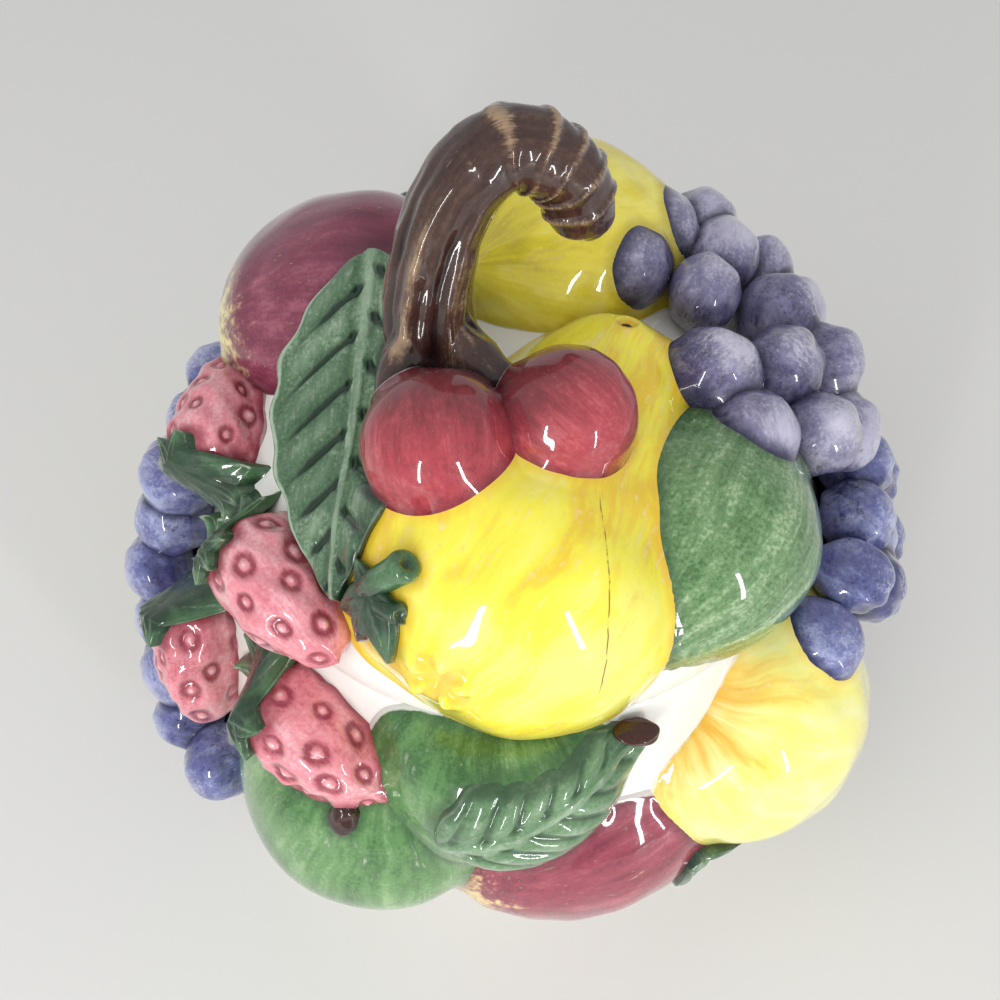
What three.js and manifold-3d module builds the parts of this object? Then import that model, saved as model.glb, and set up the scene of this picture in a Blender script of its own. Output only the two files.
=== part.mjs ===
// A lidded cookie jar in glazed earthenware, made as a heap of fruit.
// Two hollow shells, the jar and its lid, carry fruit, leaves and a twig handle that are cast or
// pressed one by one and luted to the shells with slip. The lid lifts off along +Z.
// Frame: +Z up, origin at the middle of the foot on the table, -Y towards the front.

import * as THREE from "three";
import { mergeVertices } from "three/addons/utils/BufferGeometryUtils.js";
import Module from "manifold-3d";

const wasm = await Module();
wasm.setup();

// Driving dimensions, in millimetres.
const FOOT_RADIUS = 72;
const BELLY_RADIUS = 100;
const BELLY_HEIGHT = 60;
const RIM_RADIUS = 79;
const RIM_HEIGHT = 128;
const LID_RISE = 32;
const WALL = 6;
const FLOOR = 8;
const FLANGE_DEPTH = 12;
const FLANGE_WALL = 5;
const FLANGE_CLEARANCE = 1.5;
const SEAT_GAP = 0.3;
const LUTE_GAP = 0.3;
const FRUIT_WALL = 5;
const FOOT_CLEARANCE = 5;
const LEAF_BACK = 13; // from a leaf's face to the back of its lump of clay
const LEAF_BACK_SHARE = 0.8; // how wide that back is beside the face
const LEAF_STALK = 1.5; // half the width that a leaf keeps at its ends
const GRAPE_PITCH = 18.5; // from one grape to the next in a row
const GRAPE_ROW = 15.5; // from one row down to the next
const GRAPE_BITE = 2.25; // how far each grape goes past the middle of that pitch
const GRAPE_RADIUS = GRAPE_PITCH / 2 + GRAPE_BITE;

// How finely round pieces are faceted.
const SHELL_SIDES = 30;
const WALL_STEPS = 6;
const FRUIT_SIDES = 11;
const FRUIT_STEPS = 7;
const GRAPE_SIDES = 6;
const GRAPE_STEPS = 4;
const LEAF_ACROSS = 4;
const LEAF_ALONG = 6;
const TWIG_SIDES = 8;

const REACH = 400; // longer than the whole jar, for blocks that trim to a plane

// Glazes: colour, then how rough the fired surface is.
const GLAZES = {
  white: ["#f1efe6", 0.1],
  bark: ["#4a2c20", 0.2],
  cherry: ["#a52a3f", 0.12],
  pear: ["#f4dc2a", 0.12],
  lemon: ["#ecd93a", 0.14],
  peach: ["#8e2f4d", 0.16],
  grape_pale: ["#5d588a", 0.15],
  grape_dark: ["#3a3f86", 0.15],
  leaf: ["#3f7a4b", 0.14],
  fig: ["#3e7d3f", 0.14],
  apple_green: ["#5c9a50", 0.14],
  apple_yellow: ["#f2e35a", 0.14],
  strawberry: ["#c9566a", 0.14],
  stalk: ["#2e120c", 0.12],
};

const degrees = THREE.MathUtils.degToRad;

// The jar's outside at a share of the way from the foot to the rim, as (radius, height).
function jarOutside(share) {
  const height = share * RIM_HEIGHT;
  const below = height / BELLY_HEIGHT;
  const above = (height - BELLY_HEIGHT) / (RIM_HEIGHT - BELLY_HEIGHT);
  const radius =
    height < BELLY_HEIGHT
      ? FOOT_RADIUS + (BELLY_RADIUS - FOOT_RADIUS) * Math.sin((below * Math.PI) / 2)
      : RIM_RADIUS + (BELLY_RADIUS - RIM_RADIUS) * Math.cos((above * Math.PI) / 2);
  return new THREE.Vector2(radius, height);
}

// The lid's outside at a share of the way from its edge to its crown.
function lidOutside(share) {
  const turn = (share * Math.PI) / 2;
  return new THREE.Vector2(RIM_RADIUS * Math.cos(turn), RIM_HEIGHT + LID_RISE * Math.sin(turn));
}

// A run of points along one of those two outlines, moved out by a margin.
function outline(outside, margin) {
  return Array.from({ length: WALL_STEPS + 1 }, (_, i) => {
    const share = i / WALL_STEPS;
    const point = outside(share);
    const normal = wallNormal(outside, share);
    return new THREE.Vector2(Math.max(0, point.x + normal.x * margin), point.y + normal.y * margin);
  });
}

function wallNormal(outside, share) {
  const step = 1e-4;
  const along = outside(Math.min(1, share + step)).sub(outside(Math.max(0, share - step))).normalize();
  return new THREE.Vector2(along.y, -along.x);
}

// A seat on a shell: bearing runs from the front towards +X, share runs up the shell, and proud is how
// far the piece's middle stands out of the glaze. Its axes run right, up the shell and out of it. The
// piece is spun about the outward axis, then leans so that its upper end comes out of the shell.
function seat(outside, { bearing, share, proud = 0, spin = 0, lean = 0 }) {
  const turn = degrees(bearing);
  const outward = new THREE.Vector3(Math.sin(turn), -Math.cos(turn), 0);
  const up = new THREE.Vector3(0, 0, 1);
  const point = outside(share);
  const slope = wallNormal(outside, share);
  const out = outward.clone().multiplyScalar(slope.x).addScaledVector(up, slope.y);
  const along = outward.clone().multiplyScalar(-slope.y).addScaledVector(up, slope.x);
  const right = along.clone().cross(out);
  const middle = outward.multiplyScalar(point.x).addScaledVector(up, point.y).addScaledVector(out, proud);
  return new THREE.Matrix4()
    .makeBasis(right, along, out)
    .setPosition(middle)
    .multiply(new THREE.Matrix4().makeRotationZ(degrees(spin)))
    .multiply(new THREE.Matrix4().makeRotationX(degrees(lean)));
}

// A closed geometry as a solid for cutting and joining.
function solidOf(geometry) {
  const bare = geometry.clone();
  bare.deleteAttribute("normal");
  bare.deleteAttribute("uv");
  const merged = mergeVertices(bare, 1e-4);
  const corners = merged.index.array;
  const kept = [];
  for (let i = 0; i < corners.length; i += 3) {
    const [a, b, c] = [corners[i], corners[i + 1], corners[i + 2]];
    if (a !== b && b !== c && c !== a) kept.push(a, b, c);
  }
  const vertProperties = new Float32Array(merged.attributes.position.array);
  const build = (triVerts) => new wasm.Manifold(new wasm.Mesh({ numProp: 3, vertProperties, triVerts }));
  const solid = build(new Uint32Array(kept));
  return solid.volume() > 0 ? solid : build(new Uint32Array(kept.reverse()));
}

// A solid back as a geometry: its largest body, since a cut can leave loose crumbs.
function geometryOf(solid) {
  const [largest] = solid.decompose().sort((a, b) => b.volume() - a.volume());
  const mesh = largest.getMesh();
  return new THREE.BufferGeometry()
    .setAttribute("position", new THREE.BufferAttribute(new Float32Array(mesh.vertProperties), 3))
    .setIndex(new THREE.BufferAttribute(new Uint32Array(mesh.triVerts), 1));
}

const turned = (points, sides) => new THREE.LatheGeometry(points, sides);
const smoothed = (points, steps) =>
  new THREE.SplineCurve(points.map(([x, y]) => new THREE.Vector2(x, y)))
    .getPoints(steps)
    .map((p) => new THREE.Vector2(Math.max(0, p.x), p.y));

// The jar: a flat foot, a bellied wall and a flat rim.
function jarShell() {
  const outer = outline(jarOutside, 0);
  const inner = outer
    .filter((p) => p.y > FLOOR)
    .map((p) => new THREE.Vector2(p.x - WALL, p.y))
    .reverse();
  const floorEdge = jarOutside(FLOOR / RIM_HEIGHT).x - WALL;
  const closed = [
    new THREE.Vector2(0, 0),
    ...outer,
    ...inner,
    new THREE.Vector2(floorEdge, FLOOR),
    new THREE.Vector2(0, FLOOR),
  ];
  return turned(closed, SHELL_SIDES);
}

// The lid: a low dome with a flat edge that rests on the rim, and a flange that drops inside the mouth.
function lidShell() {
  const edge = RIM_HEIGHT + SEAT_GAP;
  const flangeOuter = RIM_RADIUS - WALL - FLANGE_CLEARANCE;
  const flangeInner = flangeOuter - FLANGE_WALL;
  const under = RIM_HEIGHT - FLANGE_DEPTH;
  const outer = outline(lidOutside, 0).reverse();
  outer[outer.length - 1].y = edge;
  const underside = (radius) =>
    RIM_HEIGHT + (LID_RISE - WALL) * Math.sqrt(1 - (radius / RIM_RADIUS) ** 2);
  const inner = Array.from({ length: WALL_STEPS }, (_, i) => {
    const radius = flangeInner * (1 - i / WALL_STEPS);
    return new THREE.Vector2(radius, underside(radius));
  });
  const closed = [
    ...outer,
    new THREE.Vector2(flangeOuter, edge),
    new THREE.Vector2(flangeOuter, under),
    new THREE.Vector2(flangeInner, under),
    ...inner,
    new THREE.Vector2(0, underside(0)),
  ];
  return turned(closed, SHELL_SIDES);
}

// What no piece luted to the jar may enter: the jar itself, the table under it and the lid's side of
// the seam.
function jarKeepOut() {
  const core = [
    new THREE.Vector2(0, 0),
    ...outline(jarOutside, LUTE_GAP),
    new THREE.Vector2(0, RIM_HEIGHT),
  ];
  const above = new THREE.BoxGeometry(REACH, REACH, REACH).translate(0, 0, RIM_HEIGHT + REACH / 2);
  const below = new THREE.BoxGeometry(REACH, REACH, REACH).translate(0, 0, FOOT_CLEARANCE - REACH / 2);
  return solidOf(turned(core, SHELL_SIDES).rotateX(Math.PI / 2))
    .add(solidOf(above))
    .add(solidOf(below));
}

// The same for a piece luted to the lid: the dome, and the jar's side of the seam.
function lidKeepOut() {
  const core = [
    new THREE.Vector2(0, 0),
    new THREE.Vector2(RIM_RADIUS + LUTE_GAP, 0),
    ...outline(lidOutside, LUTE_GAP),
  ];
  const below = new THREE.BoxGeometry(REACH, REACH, REACH).translate(
    0,
    0,
    RIM_HEIGHT + SEAT_GAP - REACH / 2,
  );
  return solidOf(turned(core, SHELL_SIDES).rotateX(Math.PI / 2)).add(solidOf(below));
}

// Forms. Each takes how far its surface is grown, so that one form gives a piece, the space it takes
// out of its neighbours and its own hollow.

// A round fruit with its own radii across, along and out of the shell.
const ball =
  ({ across, along = across, deep = across }) =>
  (grow) =>
    new THREE.SphereGeometry(1, FRUIT_SIDES, FRUIT_STEPS).scale(across + grow, along + grow, deep + grow);

// A small round thing, such as a grape or a bit of stalk.
const pip = (across, along) => (grow) =>
  new THREE.SphereGeometry(1, GRAPE_SIDES, GRAPE_STEPS).scale(across + grow, along + grow, across + grow);

// A fruit turned about its stalk axis, from a half outline of [radius, height] points.
const turnedFruit = (points) => (grow) => {
  const widest = Math.max(...points.map(([radius]) => radius));
  const scale = (widest + grow) / widest;
  return turned(smoothed(points, FRUIT_STEPS), FRUIT_SIDES).scale(scale, scale, scale);
};

// A leaf from stalk to tip along +Y, arched over what it lies on, with a thick back that narrows towards
// the shell it is luted to.
const leaf =
  ({ length, width, arch }) =>
  (grow) =>
    warped(new THREE.BoxGeometry(2, 1, 1, LEAF_ACROSS, LEAF_ALONG, 1), (point) => {
      const share = point.y + 0.5;
      const isFace = point.z > 0;
      const outline = (width / 2) * Math.sin(Math.PI * share ** 0.85) ** 0.8 + LEAF_STALK;
      const side = point.x * ((isFace ? outline : outline * LEAF_BACK_SHARE) + grow);
      const along = (share - 0.5) * (length + 2 * grow);
      const drop = (along ** 2 / 2 + side ** 2) / arch;
      point.set(side, along, (isFace ? grow : -LEAF_BACK - grow) - drop);
    });

// The green cap of a strawberry: sepals in a ring, folded back along the fruit.
const cap =
  ({ radius, sepals, thickness, fold }) =>
  (grow) => {
    const star = new THREE.Shape();
    for (let i = 0; i < sepals * 2; i++) {
      const turn = (Math.PI * i) / sepals;
      const reach = (i % 2 ? radius * 0.5 : radius) + grow;
      const corner = [reach * Math.cos(turn), reach * Math.sin(turn)];
      if (i) star.lineTo(...corner);
      else star.moveTo(...corner);
    }
    const plate = new THREE.ExtrudeGeometry(star, { depth: thickness + 2 * grow, bevelEnabled: false });
    return warped(plate.translate(0, 0, -thickness / 2 - grow), (point) => {
      const drop = (point.x ** 2 + point.y ** 2) / (2 * fold);
      point.set(point.x, point.z - drop, point.y);
    });
  };

// A round rod along a smooth path, with its own radius at each given point and a rounded end.
const twig = (stations) => (grow) => {
  const steps = 2 * (stations.length - 1);
  const path = new THREE.CatmullRomCurve3(stations.map(({ at }) => new THREE.Vector3(...at)));
  const frames = path.computeFrenetFrames(steps, false);
  const radiusAt = (share) => {
    const place = share * (stations.length - 1);
    const low = Math.min(Math.floor(place), stations.length - 2);
    return THREE.MathUtils.lerp(stations[low].radius, stations[low + 1].radius, place - low) + grow;
  };
  return warped(new THREE.CylinderGeometry(1, 1, 1, TWIG_SIDES, steps), (point) => {
    const share = point.y + 0.5;
    const step = Math.round(share * steps);
    const radius = radiusAt(share);
    const endGrow = step === 0 ? -grow : step === steps ? grow : 0;
    point.copy(
      path
        .getPoint(share)
        .addScaledVector(frames.tangents[step], endGrow)
        .addScaledVector(frames.normals[step], point.x * radius)
        .addScaledVector(frames.binormals[step], point.z * radius),
    );
  });
};

// A bunch of grapes pressed together in rows that run round a shell, every other one further out.
const bunch =
  ({ outside, top, proud, rows }) =>
  (grow) => {
    const grapes = [];
    let share = top;
    rows.forEach(({ from, count }, row) => {
      const step = GRAPE_PITCH / (outside(share).x + proud * wallNormal(outside, share).x);
      for (let i = 0; i < count; i++) {
        const bearing = from + THREE.MathUtils.radToDeg(i * step);
        const place = seat(outside, { bearing, share, proud: (row + i) % 2 ? proud + 2 : proud });
        grapes.push(solidOf(pip(GRAPE_RADIUS, GRAPE_RADIUS)(grow).applyMatrix4(place)));
      }
      share -= GRAPE_ROW / riseRate(outside, share);
    });
    return grapes.reduce((whole, grape) => whole.add(grape));
  };

// How far an outline runs for each unit of share.
function riseRate(outside, share) {
  const step = 1e-3;
  return outside(share).distanceTo(outside(share - step)) / step;
}

// Several forms fused into one piece.
const joined =
  (...forms) =>
  (grow) =>
    forms.map((form) => solidOf(form(grow))).reduce((whole, part) => whole.add(part));

// A geometry with each of its points moved by a rule.
function warped(geometry, rule) {
  const places = geometry.attributes.position;
  const point = new THREE.Vector3();
  for (let i = 0; i < places.count; i++) {
    point.fromBufferAttribute(places, i);
    rule(point);
    places.setXYZ(i, point.x, point.y, point.z);
  }
  return geometry;
}

// Half outlines, from the blossom end to the stalk end.
const PEAR_OUTLINE = [
  [0, -38],
  [18, -35],
  [37, -18],
  [43, 3],
  [37, 22],
  [28, 42],
  [22, 57],
  [14, 69],
  [0, 73],
];
const LEMON_OUTLINE = [
  [0, -40],
  [9, -36],
  [23, -23],
  [30, 0],
  [23, 23],
  [9, 36],
  [6, 41],
  [0, 44],
];
const APPLE_OUTLINE = [
  [0, -28],
  [12, -31],
  [28, -18],
  [34, 4],
  [26, 25],
  [12, 30],
  [0, 22],
];
const FIG_OUTLINE = [
  [0, -32],
  [20, -27],
  [33, -4],
  [29, 18],
  [16, 34],
  [6, 42],
  [0, 44],
];
const STRAWBERRY_OUTLINE = [
  [0, -19],
  [9, -18],
  [13.5, -9],
  [12, 6],
  [7, 18],
  [0, 24],
];

const sized = (points, factor) => points.map(([radius, height]) => [radius * factor, height * factor]);

// A strawberry and the green cap over its stalk end.
function strawberry(name, place) {
  const crown = cap({ radius: 15, sepals: 5, thickness: 3, fold: 14 });
  const stalkEnd = STRAWBERRY_OUTLINE[0][1];
  return [
    {
      name: `${name}_cap`,
      glaze: "leaf",
      form: (grow) => crown(grow).rotateX(Math.PI).translate(0, stalkEnd - 3, 0),
      place,
    },
    { name, glaze: "strawberry", form: turnedFruit(STRAWBERRY_OUTLINE), place },
  ];
}

// Everything luted to the lid, from the pieces on top to those beneath, which make room for them.
const LID_PIECES = [
  {
    name: "twig_handle",
    glaze: "bark",
    form: joined(
      twig([
        { at: [-21, -8, -10], radius: 12 },
        { at: [-21, -7, 13], radius: 11 },
        { at: [-21, -2, 33], radius: 9.5 },
        { at: [-15, 5, 55], radius: 9 },
        { at: [-4, 10, 66], radius: 9 },
        { at: [8, 12, 59], radius: 8.5 },
        { at: [13, 12, 46], radius: 8 },
        { at: [14, 11, 37], radius: 5 },
      ]),
      twig([
        { at: [-23, -2, 26], radius: 5.5 },
        { at: [-26, -10, 24], radius: 5.5 },
        { at: [-28, -18, 22], radius: 5 },
        { at: [-28, -24, 17], radius: 3.5 },
      ]),
      twig([
        { at: [-18, -2, 26], radius: 5.5 },
        { at: [-13, -9, 24], radius: 5.5 },
        { at: [-7, -14, 21], radius: 5 },
        { at: [-2, -18, 15], radius: 3.5 },
      ]),
    ),
    lift: RIM_HEIGHT + LID_RISE,
  },
  {
    name: "cherry_left",
    glaze: "cherry",
    form: ball({ across: 17.5 }),
    place: { bearing: -30, share: 0.72, proud: 20 },
  },
  {
    name: "cherry_right",
    glaze: "cherry",
    form: ball({ across: 16 }),
    place: { bearing: 22, share: 0.8, proud: 20 },
  },
  {
    name: "crown_leaf",
    glaze: "leaf",
    form: leaf({ length: 88, width: 38, arch: 130 }),
    place: { bearing: -59, share: 0.625, proud: 17, spin: -128, lean: -9 },
  },
  {
    name: "pear",
    glaze: "pear",
    hollow: true,
    form: turnedFruit(PEAR_OUTLINE),
    place: { bearing: 0, share: 0.585, proud: -17, spin: -20 },
  },
  {
    name: "blossom_sprig",
    glaze: "leaf",
    form: cap({ radius: 15, sepals: 5, thickness: 3.5, fold: 16 }),
    place: { bearing: -27, share: 0.4, proud: 11, spin: -40, lean: 70 },
  },
  {
    name: "lid_grapes",
    glaze: "grape_pale",
    form: bunch({
      outside: lidOutside,
      top: 0.61,
      proud: 10,
      rows: [
        { from: 91, count: 3 },
        { from: 74, count: 5 },
        { from: 82, count: 5 },
        { from: 92, count: 4 },
      ],
    }),
  },
  ...strawberry("strawberry_side", { bearing: -92, share: 0.14, proud: 4, spin: 98, lean: 4 }),
  ...strawberry("strawberry_front", { bearing: -49, share: 0.22, proud: 3, spin: -92 }),
  {
    name: "peach",
    glaze: "peach",
    hollow: true,
    form: ball({ across: 36, along: 38, deep: 30 }),
    place: { bearing: -129, share: 0.41, proud: -3 },
  },
  {
    name: "lemon",
    glaze: "lemon",
    hollow: true,
    form: turnedFruit(sized(LEMON_OUTLINE, 1.12)),
    place: { bearing: 165, share: 0.51, proud: -2, spin: 150, lean: -12 },
  },
  {
    name: "fig",
    glaze: "fig",
    hollow: true,
    form: turnedFruit(FIG_OUTLINE),
    place: { bearing: 55, share: 0.42, proud: -13, spin: 98 },
  },
  {
    name: "lid_back_leaf",
    glaze: "leaf",
    form: leaf({ length: 58, width: 30, arch: 60 }),
    place: { bearing: -166, share: 0.2, proud: 8, spin: 165 },
  },
];

// Everything luted to the jar, in the same order.
const JAR_PIECES = [
  {
    name: "front_leaf",
    glaze: "leaf",
    form: leaf({ length: 60, width: 28, arch: 150 }),
    place: { bearing: 4, share: 0.875, proud: 16, spin: -60, lean: -4 },
  },
  ...strawberry("strawberry_left", { bearing: -63, share: 0.72, proud: 6, spin: -152 }),
  ...strawberry("strawberry_low", { bearing: -34, share: 0.86, proud: 5, spin: -102 }),
  {
    name: "yellow_apple_stalk",
    glaze: "stalk",
    form: pip(3.6, 6.2),
    place: { bearing: 19, share: 0.955, proud: 4, spin: 60 },
  },
  {
    name: "green_apple_stalk",
    glaze: "stalk",
    form: pip(3.2, 4.5),
    place: { bearing: -25, share: 0.78, proud: 13 },
  },
  {
    name: "yellow_apple",
    glaze: "apple_yellow",
    hollow: true,
    form: turnedFruit(sized(APPLE_OUTLINE, 1.2)),
    place: { bearing: 48, share: 0.69, proud: -17, spin: 36 },
  },
  {
    name: "plum",
    glaze: "peach",
    hollow: true,
    form: ball({ across: 44, along: 36, deep: 32 }),
    place: { bearing: 12, share: 0.52, proud: -20, spin: 14 },
  },
  {
    name: "green_apple_left",
    glaze: "apple_green",
    hollow: true,
    form: turnedFruit(sized(APPLE_OUTLINE, 1.2)),
    place: { bearing: -29, share: 0.58, proud: -21, spin: -8, lean: 10 },
  },
  {
    name: "green_apple_front",
    glaze: "apple_green",
    form: turnedFruit(sized(APPLE_OUTLINE, 1.03)),
    place: { bearing: -4, share: 0.84, proud: -20, lean: 10 },
  },
  {
    name: "side_leaf",
    glaze: "leaf",
    form: leaf({ length: 52, width: 26, arch: 120 }),
    place: { bearing: 33, share: 0.4, proud: 4, spin: -150 },
  },
  {
    name: "right_grapes",
    glaze: "grape_dark",
    form: bunch({
      outside: jarOutside,
      top: 0.94,
      proud: 10,
      rows: [
        { from: 57, count: 6 },
        { from: 72, count: 5 },
        { from: 78, count: 4 },
        { from: 82, count: 3 },
        { from: 87, count: 2 },
        { from: 92, count: 1 },
      ],
    }),
  },
  {
    name: "left_grapes",
    glaze: "grape_dark",
    form: bunch({
      outside: jarOutside,
      top: 0.94,
      proud: 10,
      rows: [
        { from: -122, count: 4 },
        { from: -117, count: 4 },
        { from: -112, count: 4 },
        { from: -107, count: 5 },
        { from: -93, count: 5 },
        { from: -77, count: 3 },
      ],
    }),
  },
  {
    name: "right_leaf",
    glaze: "leaf",
    form: leaf({ length: 58, width: 28, arch: 120 }),
    place: { bearing: 74, share: 0.27, proud: 4, spin: -160 },
  },
  {
    name: "left_leaf",
    glaze: "leaf",
    form: leaf({ length: 58, width: 28, arch: 120 }),
    place: { bearing: -93, share: 0.27, proud: 4, spin: 165 },
  },
  {
    name: "right_plum",
    glaze: "peach",
    hollow: true,
    form: ball({ across: 29, along: 32, deep: 26 }),
    place: { bearing: 114, share: 0.36, proud: -8, spin: 10 },
  },
  {
    name: "back_leaf_upper",
    glaze: "leaf",
    form: leaf({ length: 60, width: 30, arch: 120 }),
    place: { bearing: -152, share: 0.85, proud: 8, spin: -75 },
  },
  {
    name: "left_pear",
    glaze: "pear",
    hollow: true,
    form: turnedFruit(sized(PEAR_OUTLINE, 0.74)),
    place: { bearing: -118, share: 0.27, proud: -10, spin: -18 },
  },
  {
    name: "back_leaf_right",
    glaze: "leaf",
    form: leaf({ length: 62, width: 31, arch: 120 }),
    place: { bearing: 163, share: 0.8, proud: 10, spin: 65 },
  },
  {
    name: "back_lemon",
    glaze: "lemon",
    hollow: true,
    form: turnedFruit(LEMON_OUTLINE),
    place: { bearing: 144, share: 0.5, proud: -9, spin: 25 },
  },
  {
    name: "back_peach",
    glaze: "peach",
    hollow: true,
    form: ball({ across: 38, along: 36, deep: 32 }),
    place: { bearing: -174, share: 0.62, proud: -15 },
  },
  {
    name: "back_apple",
    glaze: "apple_green",
    hollow: true,
    form: turnedFruit(sized(APPLE_OUTLINE, 1.12)),
    place: { bearing: -137, share: 0.5, proud: -14, spin: 12 },
  },
  {
    name: "back_leaf_left",
    glaze: "leaf",
    form: leaf({ length: 56, width: 28, arch: 120 }),
    place: { bearing: 174, share: 0.27, proud: 5, spin: 80 },
  },
];

// A mesh for one luted piece: its form, less the shell's keep-out, less what lies over it, and hollow
// where the cast piece is.
function lutedMesh(piece, outside, keepOut, over) {
  const matrix = piece.place
    ? seat(outside, piece.place)
    : new THREE.Matrix4().makeTranslation(0, 0, piece.lift ?? 0);
  const grown = (grow) => {
    const made = piece.form(grow);
    return made.isBufferGeometry ? solidOf(made.applyMatrix4(matrix)) : made.transform(matrix.elements);
  };
  let solid = grown(0).subtract(keepOut);
  for (const other of over) solid = solid.subtract(other);
  if (piece.hollow) solid = solid.subtract(grown(-FRUIT_WALL));
  over.push(grown(LUTE_GAP));
  const mesh = glazedMesh(piece.name, geometryOf(solid).applyMatrix4(matrix.clone().invert()), piece.glaze);
  mesh.applyMatrix4(matrix);
  return mesh;
}

function glazedMesh(name, geometry, glaze) {
  const [color, roughness] = GLAZES[glaze];
  const mesh = new THREE.Mesh(geometry, new THREE.MeshStandardMaterial({ color, roughness, metalness: 0 }));
  mesh.name = name;
  return mesh;
}

function shellGroup(shellMesh, pieces, outside, keepOut) {
  const group = new THREE.Group();
  const over = [];
  group.add(shellMesh);
  for (const piece of pieces) group.add(lutedMesh(piece, outside, keepOut, over));
  return group;
}

const upright = (geometry) => geometryOf(solidOf(geometry.rotateX(Math.PI / 2)));

const cookieJar = new THREE.Group();
cookieJar.add(
  shellGroup(glazedMesh("jar_shell", upright(jarShell()), "white"), JAR_PIECES, jarOutside, jarKeepOut()),
  shellGroup(glazedMesh("lid_shell", upright(lidShell()), "white"), LID_PIECES, lidOutside, lidKeepOut()),
);

export default cookieJar;
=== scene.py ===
"""A glazed earthenware cookie jar heaped with fruit: its fine form, painted glazes and studio."""
import math
from collections import namedtuple

import bmesh
import bpy
import numpy as np
from mathutils import Matrix, Vector
from mathutils.bvhtree import BVHTree
from mathutils.kdtree import KDTree


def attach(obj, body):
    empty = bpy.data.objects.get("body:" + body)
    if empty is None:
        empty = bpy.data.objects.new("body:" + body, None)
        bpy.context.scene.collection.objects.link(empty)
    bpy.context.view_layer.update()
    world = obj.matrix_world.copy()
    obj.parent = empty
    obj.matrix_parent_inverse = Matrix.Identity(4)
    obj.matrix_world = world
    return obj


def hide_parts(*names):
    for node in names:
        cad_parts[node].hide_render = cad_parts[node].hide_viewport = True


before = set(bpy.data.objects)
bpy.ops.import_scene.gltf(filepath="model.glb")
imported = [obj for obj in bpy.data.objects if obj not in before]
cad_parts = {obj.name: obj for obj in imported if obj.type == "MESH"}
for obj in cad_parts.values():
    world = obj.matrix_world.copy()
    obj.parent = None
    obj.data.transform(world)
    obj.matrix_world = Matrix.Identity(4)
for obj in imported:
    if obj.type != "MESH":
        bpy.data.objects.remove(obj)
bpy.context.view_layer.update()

# Driving dimensions, in millimetres, the same as the model's.
MM = 0.001
FOOT_RADIUS = 72
BELLY_RADIUS = 100
BELLY_HEIGHT = 60
RIM_RADIUS = 79
RIM_HEIGHT = 128
LID_RISE = 32
WALL = 6
FLOOR = 8
FLANGE_DEPTH = 12
FLANGE_WALL = 5
FLANGE_CLEARANCE = 1.5
SEAT_GAP = 0.3
FOOT_CLEARANCE = 5
LEAF_STALK = 1.5
GRAPE_RADIUS = 11.5
GRAPE_PITCH = 18.5
GRAPE_ROW = 15.5

# How the clay and the glaze soften what they meet, in millimetres.
SEAM_SOFTNESS = 2.5
BED_SOFTNESS = 1.0
FILLET_REACH = 4.5
FILLET_HEIGHT = 1.2
CREVICE_REACH = 6.0
CONTACT_SLACK = 1.8
UNLUTED_REACH = 0.8  # a gap that isn't luted counts as at least this wide, so its edges keep their paint

# How a leaf is laid: how thick it is, how far its back sinks, and how the fruit under it is felt.
LEAF_THICK = 2.4
SEPAL_THICK = 2.8
LEAF_SINK = 4.0
LEAF_BRUSH = 6.0
BED_STEP = 1.5
STEEPEST = 2.0
BED_LOWEST = -16
FEEL_FROM = 45
FEEL_DEPTH = 90
LEAF_EASE = 40
LEAF_LEVELS = (BED_LOWEST, 4)
CAP_EASE = 8
CAP_LEVELS = (BED_LOWEST, 20)
CAP_HALF_SIZE = 40
SPRIG_LEVELS = (BED_LOWEST, 25)
SPRIG_HALF_SIZE = 36

# A strawberry's seeds, in millimetres.
SEED_COUNT = 26
PIT_RADIUS = 2.9
PIT_DEPTH = 1.1
PIP_RADIUS = 1.2
PIP_HEIGHT = 0.9

# The twig's bark: shares are of the way along the trunk, heights in millimetres.
RIDGES = 5
FINE_RIDGES = 13
RIDGES_END = 0.68
RIDGE_HEIGHT = 1.1
HOOK_START = 0.64
HOOK_END = 0.97
RING_RATE = 125
RING_HEIGHT = 0.9
KNOT_HEIGHT = 0.6
ROOT_REACH = 17  # further from the trunk's middle than this is a root
TWIG_GRAIN = 0.6
TWIG_EASING = 14
TRUNK_STEPS = 300

# How finely a ball of clay is divided before it is pressed to its form.
FINE = 6
FINEST = 7
GRAPE_FINENESS = 5
OUTLINE_STEPS = 500

# How the shells are turned: as pieces, and as a bed for leaves.
SHELL_RISE_STEPS = 48
SHELL_TURN_STEPS = 240
DOME_STEPS = 30
BED_RISE_STEPS = 40
BED_TURN_STEPS = 96
EDGE_ROUND = 1.6
SOFT_CORNER = 2
FOOT_RING = 7
FOOT_RECESS = 3
BARE_FOOT = 1
BARE_RIM = 0.4
BARE_SEAT = 0.2

# How far the brush strokes of each lump and each piece are shifted, so that none repeats another's.
LUMP_SHIFT = 3.7
PIECE_SHIFT = 11.3

X, Y, Z = np.eye(3)
MIDDLE = np.array([0, 0, BELLY_HEIGHT])


# The two shells

def jar_radius(height):
    below = np.clip(height / BELLY_HEIGHT, 0, 1)
    above = np.clip((height - BELLY_HEIGHT) / (RIM_HEIGHT - BELLY_HEIGHT), 0, 1)
    lower = FOOT_RADIUS + (BELLY_RADIUS - FOOT_RADIUS) * np.sin(below * np.pi / 2)
    upper = RIM_RADIUS + (BELLY_RADIUS - RIM_RADIUS) * np.cos(above * np.pi / 2)
    return np.where(height < BELLY_HEIGHT, lower, upper)


def jar_outside(share):
    height = share * RIM_HEIGHT
    return np.array([jar_radius(height), height])


def lid_outside(share):
    turn = share * np.pi / 2
    return np.array([RIM_RADIUS * np.cos(turn), RIM_HEIGHT + LID_RISE * np.sin(turn)])


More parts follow.
